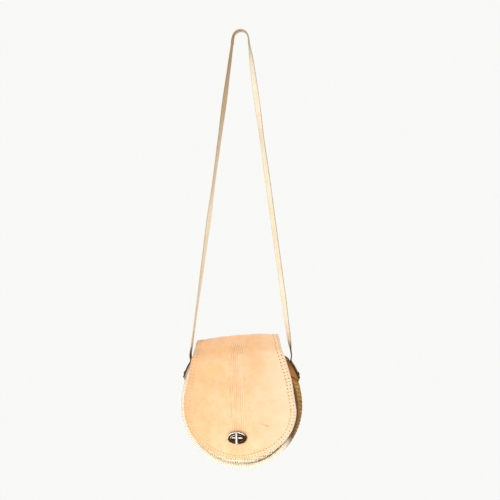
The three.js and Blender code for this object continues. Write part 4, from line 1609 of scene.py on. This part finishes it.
def ring_faces(rings, sides, closed, first):
    """Faces between rings of points, with flat ends, or with none where the profile closes on itself."""
    faces = [
        tuple(first + k * sides + i for k, i in ((a, i), (a, j), (b, j), (b, i)))
        for a, b in chain(rings, closed)
        for i, j in chain(sides, closed=True)
    ]
    if not closed:
        for end in (first, first + (rings - 1) * sides):
            faces.append(tuple(range(end, end + sides)))
    return faces


def stacked(name, *stacks, closed=False, materials=()):
    """Solids through stacks of rings, in one piece."""
    points, faces = [], []
    for rings in stacks:
        faces += ring_faces(len(rings), len(rings[0]), closed, sum(map(len, points)))
        points.append(np.concatenate(rings))
    piece = new_piece(name, hang(np.concatenate(points)), faces, materials=materials)
    face_outwards(piece)
    piece.data.set_sharp_from_angle(angle=SHARP_ANGLE)
    return piece


def lock_frame():
    """An oval frame with a raised rim, a sunk band and a lip round its slot."""
    size, thickness, slot = np.array(LOCK.frame[:2]), LOCK.frame[2], np.array(LOCK.slot)
    rings = [
        oval(*between(size, slot, share), LOCK_DEPTH.frame + sunk * thickness)
        for share, sunk in FRAME_PROFILE
    ]
    return stacked("lock_frame_plate", rings, closed=True, materials=[FINISH.nickel])


def lock_base():
    """The plate on the front panel and the seat that stands through the flap."""
    width, height, _ = LOCK.plate
    seat_width, seat_height = LOCK.seat
    back, front, seat, soft = LOCK_DEPTH.panel, LOCK_DEPTH.plate, LOCK_DEPTH.seat, LOCK.softness
    rings = [
        oval(width - soft, height - soft, back),
        oval(width, height, back - soft),
        oval(width, height, front + soft),
        oval(width - 2 * soft, height - 2 * soft, front),
        oval(seat_width, seat_height, front),
        oval(seat_width, seat_height, seat + soft),
        oval(seat_width - soft, seat_height - soft, seat + soft / 4),
        oval(seat_width - 2 * soft, seat_height - 2 * soft, seat),
    ]
    return stacked("lock_seat", rings, materials=[FINISH.black_nickel])


def lock_bar():
    """The bar that turns, crowned like a bead, on its spindle."""
    width, height, thickness = LOCK.bar
    back = LOCK_DEPTH.bar
    crown = [
        rounded_bar(width, height, inset * width / 2, back - level * thickness)
        for inset, level in BAR_PROFILE
    ]
    radius, length = LOCK.spindle
    spindle = [
        oval(2 * radius, 2 * radius, depth, LOCK.spindle_sides)
        for depth in (back - thickness / 4, back + length)
    ]
    return stacked("lock_twist_bar", crown, spindle, materials=[FINISH.bright_nickel])


def rivet(name, hand):
    """A domed head on the strap, a shank through the layers and a burr inside."""
    seat = strap_on_tab(RIVET.height)
    along = unit(strap_on_tab(RIVET.height - 1 * MM) - seat)
    out = np.array((-along[2], 0, along[0]))
    aside = np.array((0.0, 1.0, 0.0))
    up = np.cross(out, aside)
    face = WALL.strap / 2 + GAP
    burr = -(WALL.strap / 2 + WALL.tab + WALL.gusset + 6 * GAP)
    dome = [(math.cos(a), math.sin(a)) for a in np.linspace(0, RIVET.dome_angle, RIVET.dome_steps)]
    profile = [
        (RIVET.burr_radius, burr - RIVET.burr_thickness),
        (RIVET.burr_radius, burr),
        (RIVET.shank_radius, burr),
        (RIVET.shank_radius, face),
        (RIVET.head_radius, face),
        *(
            (RIVET.head_radius * reach, face + RIVET.head_rise * between(RIVET.brim_share, 1, level))
            for reach, level in dome
        ),
    ]
    turns = np.linspace(0, math.tau, RIVET.sides, endpoint=False)[:, None]
    rings = [
        (seat + out * level + radius * (aside * np.cos(turns) + up * np.sin(turns))) * (hand, 1, 1)
        for radius, level in profile
    ]
    return stacked(name, rings, materials=[FINISH.black_brass])


# ---------------------------------------------------------------- the bag

FINISH = SimpleNamespace(
    flap=flap_leather(),
    suede=suede(),
    edge=cut_edge(),
    strap=strap_leather(),
    cap=cap_leather(),
    thread=linen_thread(),
    pale_rattan=rattan("pale rattan", RATTAN_PALE, RATTAN_CREAM, RATTAN_BROWN, browning_and_shade=0.45),
    golden_rattan=rattan("golden rattan", RATTAN_GOLD, RATTAN_AMBER, RATTAN_DEEP),
    cane=cane(),
    nickel=frame_with_painted_light(),
    black_nickel=seat_with_painted_highlight(),
    bright_nickel=bar_with_painted_shade(),
    black_brass=blackened_brass(),
)
RECIPE = SimpleNamespace(
    weave=weave_recipe(), wrap=wrap_recipe(), band=band_recipe(), stitches=stitch_recipe()
)


def finish_piece(piece, slot, *nodes, body="bag"):
    """Makes a piece ride on its body and hides the CAD nodes that it stands for. Its slot is not used."""
    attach(piece, body)
    if nodes:
        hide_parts(*nodes)


def build_bag():
    hide, border, length = flap()
    finish_piece(hide, "flap_leather", "flap")
    finish_piece(stitches("flap_stitches", hide, border, length), "flap_leather")
    finish_piece(strap(), "strap_leather", "strap")
    for side, hand in (("left", -1), ("right", 1)):
        finish_piece(side_tab(f"side_tab_hide_{side}", hand), "cap_leather", f"side_tab_{side}")
        finish_piece(rivet(f"rivet_head_{side}", hand), "dark_metal", f"strap_rivet_{side}")
    finish_piece(panel("front_panel_weave", FRONT, seed=3), "woven_rattan", "front_panel")
    finish_piece(panel("back_panel_weave", BACK, seed=5), "woven_rattan", "back_panel")
    finish_piece(gusset("gusset_weave", seed=7), "woven_rattan", "gusset")
    finish_piece(rim("front_rim_wrap", FRONT), "wrapped_cane", "front_rim")
    finish_piece(rim("back_rim_wrap", BACK), "wrapped_cane", "back_rim")
    finish_piece(lock_frame(), "lock_metal", "lock_frame")
    finish_piece(lock_base(), "lock_metal", "lock_base")
    finish_piece(lock_bar(), "lock_metal", "lock_bar", body="lock_bar")


# ---------------------------------------------------------------- camera, light and floor


def aim(name, data, azimuth, elevation, distance, height):
    """Places a lamp or the camera round the strap's axis, by degrees, turned to the axis at a height."""
    azimuth, elevation = math.radians(azimuth), math.radians(elevation)
    level = math.cos(elevation)
    away = Vector((math.sin(azimuth) * level, -math.cos(azimuth) * level, math.sin(elevation)))
    thing = bpy.data.objects.new(name, data)
    thing.location = Vector((0, 0, height)) + away * distance
    thing.rotation_euler = away.to_track_quat("Z", "Y").to_euler()
    bpy.context.scene.collection.objects.link(thing)
    return thing


def set_camera():
    data = bpy.data.cameras.new("camera")
    data.lens = CAMERA.lens
    data.sensor_width = 36
    data.shift_x = CAMERA.shift
    data.clip_start = 0.01
    camera = aim("camera", data, CAMERA.azimuth, 0, CAMERA.distance, CAMERA.height)
    bpy.context.scene.camera = camera


def add_light(name, azimuth, elevation, distance, size, watts, colour=(1, 1, 1)):
    data = bpy.data.lights.new(name, "AREA")
    data.shape = "DISK"
    data.size = size
    data.energy = watts
    data.color = colour
    aim(name, data, azimuth, elevation, distance, LIGHT_HEIGHT).visible_camera = False


def set_room():
    """A pale room: the camera sees it evenly bright, and it lights the bag softly."""
    world = bpy.data.worlds.new("pale room")
    world.use_nodes = True
    bpy.context.scene.world = world
    g = Graph(world.node_tree)
    seen, light = (
        g.node("ShaderNodeBackground", None, {"Color": opaque(ROOM), "Strength": strength})
        for strength in (1.0, ROOM_LIGHT)
    )
    straight = g.node("ShaderNodeLightPath", output="Is Camera Ray")
    mixed = g.node("ShaderNodeMixShader", None, {0: straight, 1: light, 2: seen})
    g.feed(world.node_tree.nodes["World Output"].inputs["Surface"], mixed)
    bpy.context.scene.view_settings.view_transform = "Standard"


def add_floor():
    """A pale floor that fades into the room's own light a little way off."""
    size = FLOOR.radius
    turns = np.linspace(0, math.tau, FLOOR.sides, endpoint=False)
    points = [(size * math.cos(a), size * math.sin(a), FLOOR.height) for a in turns]
    f = Finish("pale floor", ROOM, roughness=0.8)
    floor = new_piece("floor", points, [tuple(range(len(points)))], materials=[f.done()])
    x, y, _ = f.split(f.place())
    faded = f.step(f.math("SQRT", x * x + y * y), size * FLOOR.fade[0], size * FLOOR.fade[1])
    solid, clear = Wire(f, f.shader.outputs[0]), f.node("ShaderNodeBsdfTransparent")
    mixed = f.node("ShaderNodeMixShader", None, {0: faded, 1: solid, 2: clear})
    f.feed(f.tree.nodes["Material Output"].inputs["Surface"], mixed)


build_bag()
set_camera()
set_room()
add_light("window", -28, 12, 2.2, 0.7, 11)
add_light("skylight", 4, 72, 2.0, 1.0, 22.5)
add_light("low fill", -2, -46, 0.9, 0.9, 6.4)
add_light("warm bounce", 108, -2, 1.4, 1.0, 7, (1, 0.76, 0.46))
add_light("back fill", 190, 22, 2.2, 1.4, 10)
add_floor()

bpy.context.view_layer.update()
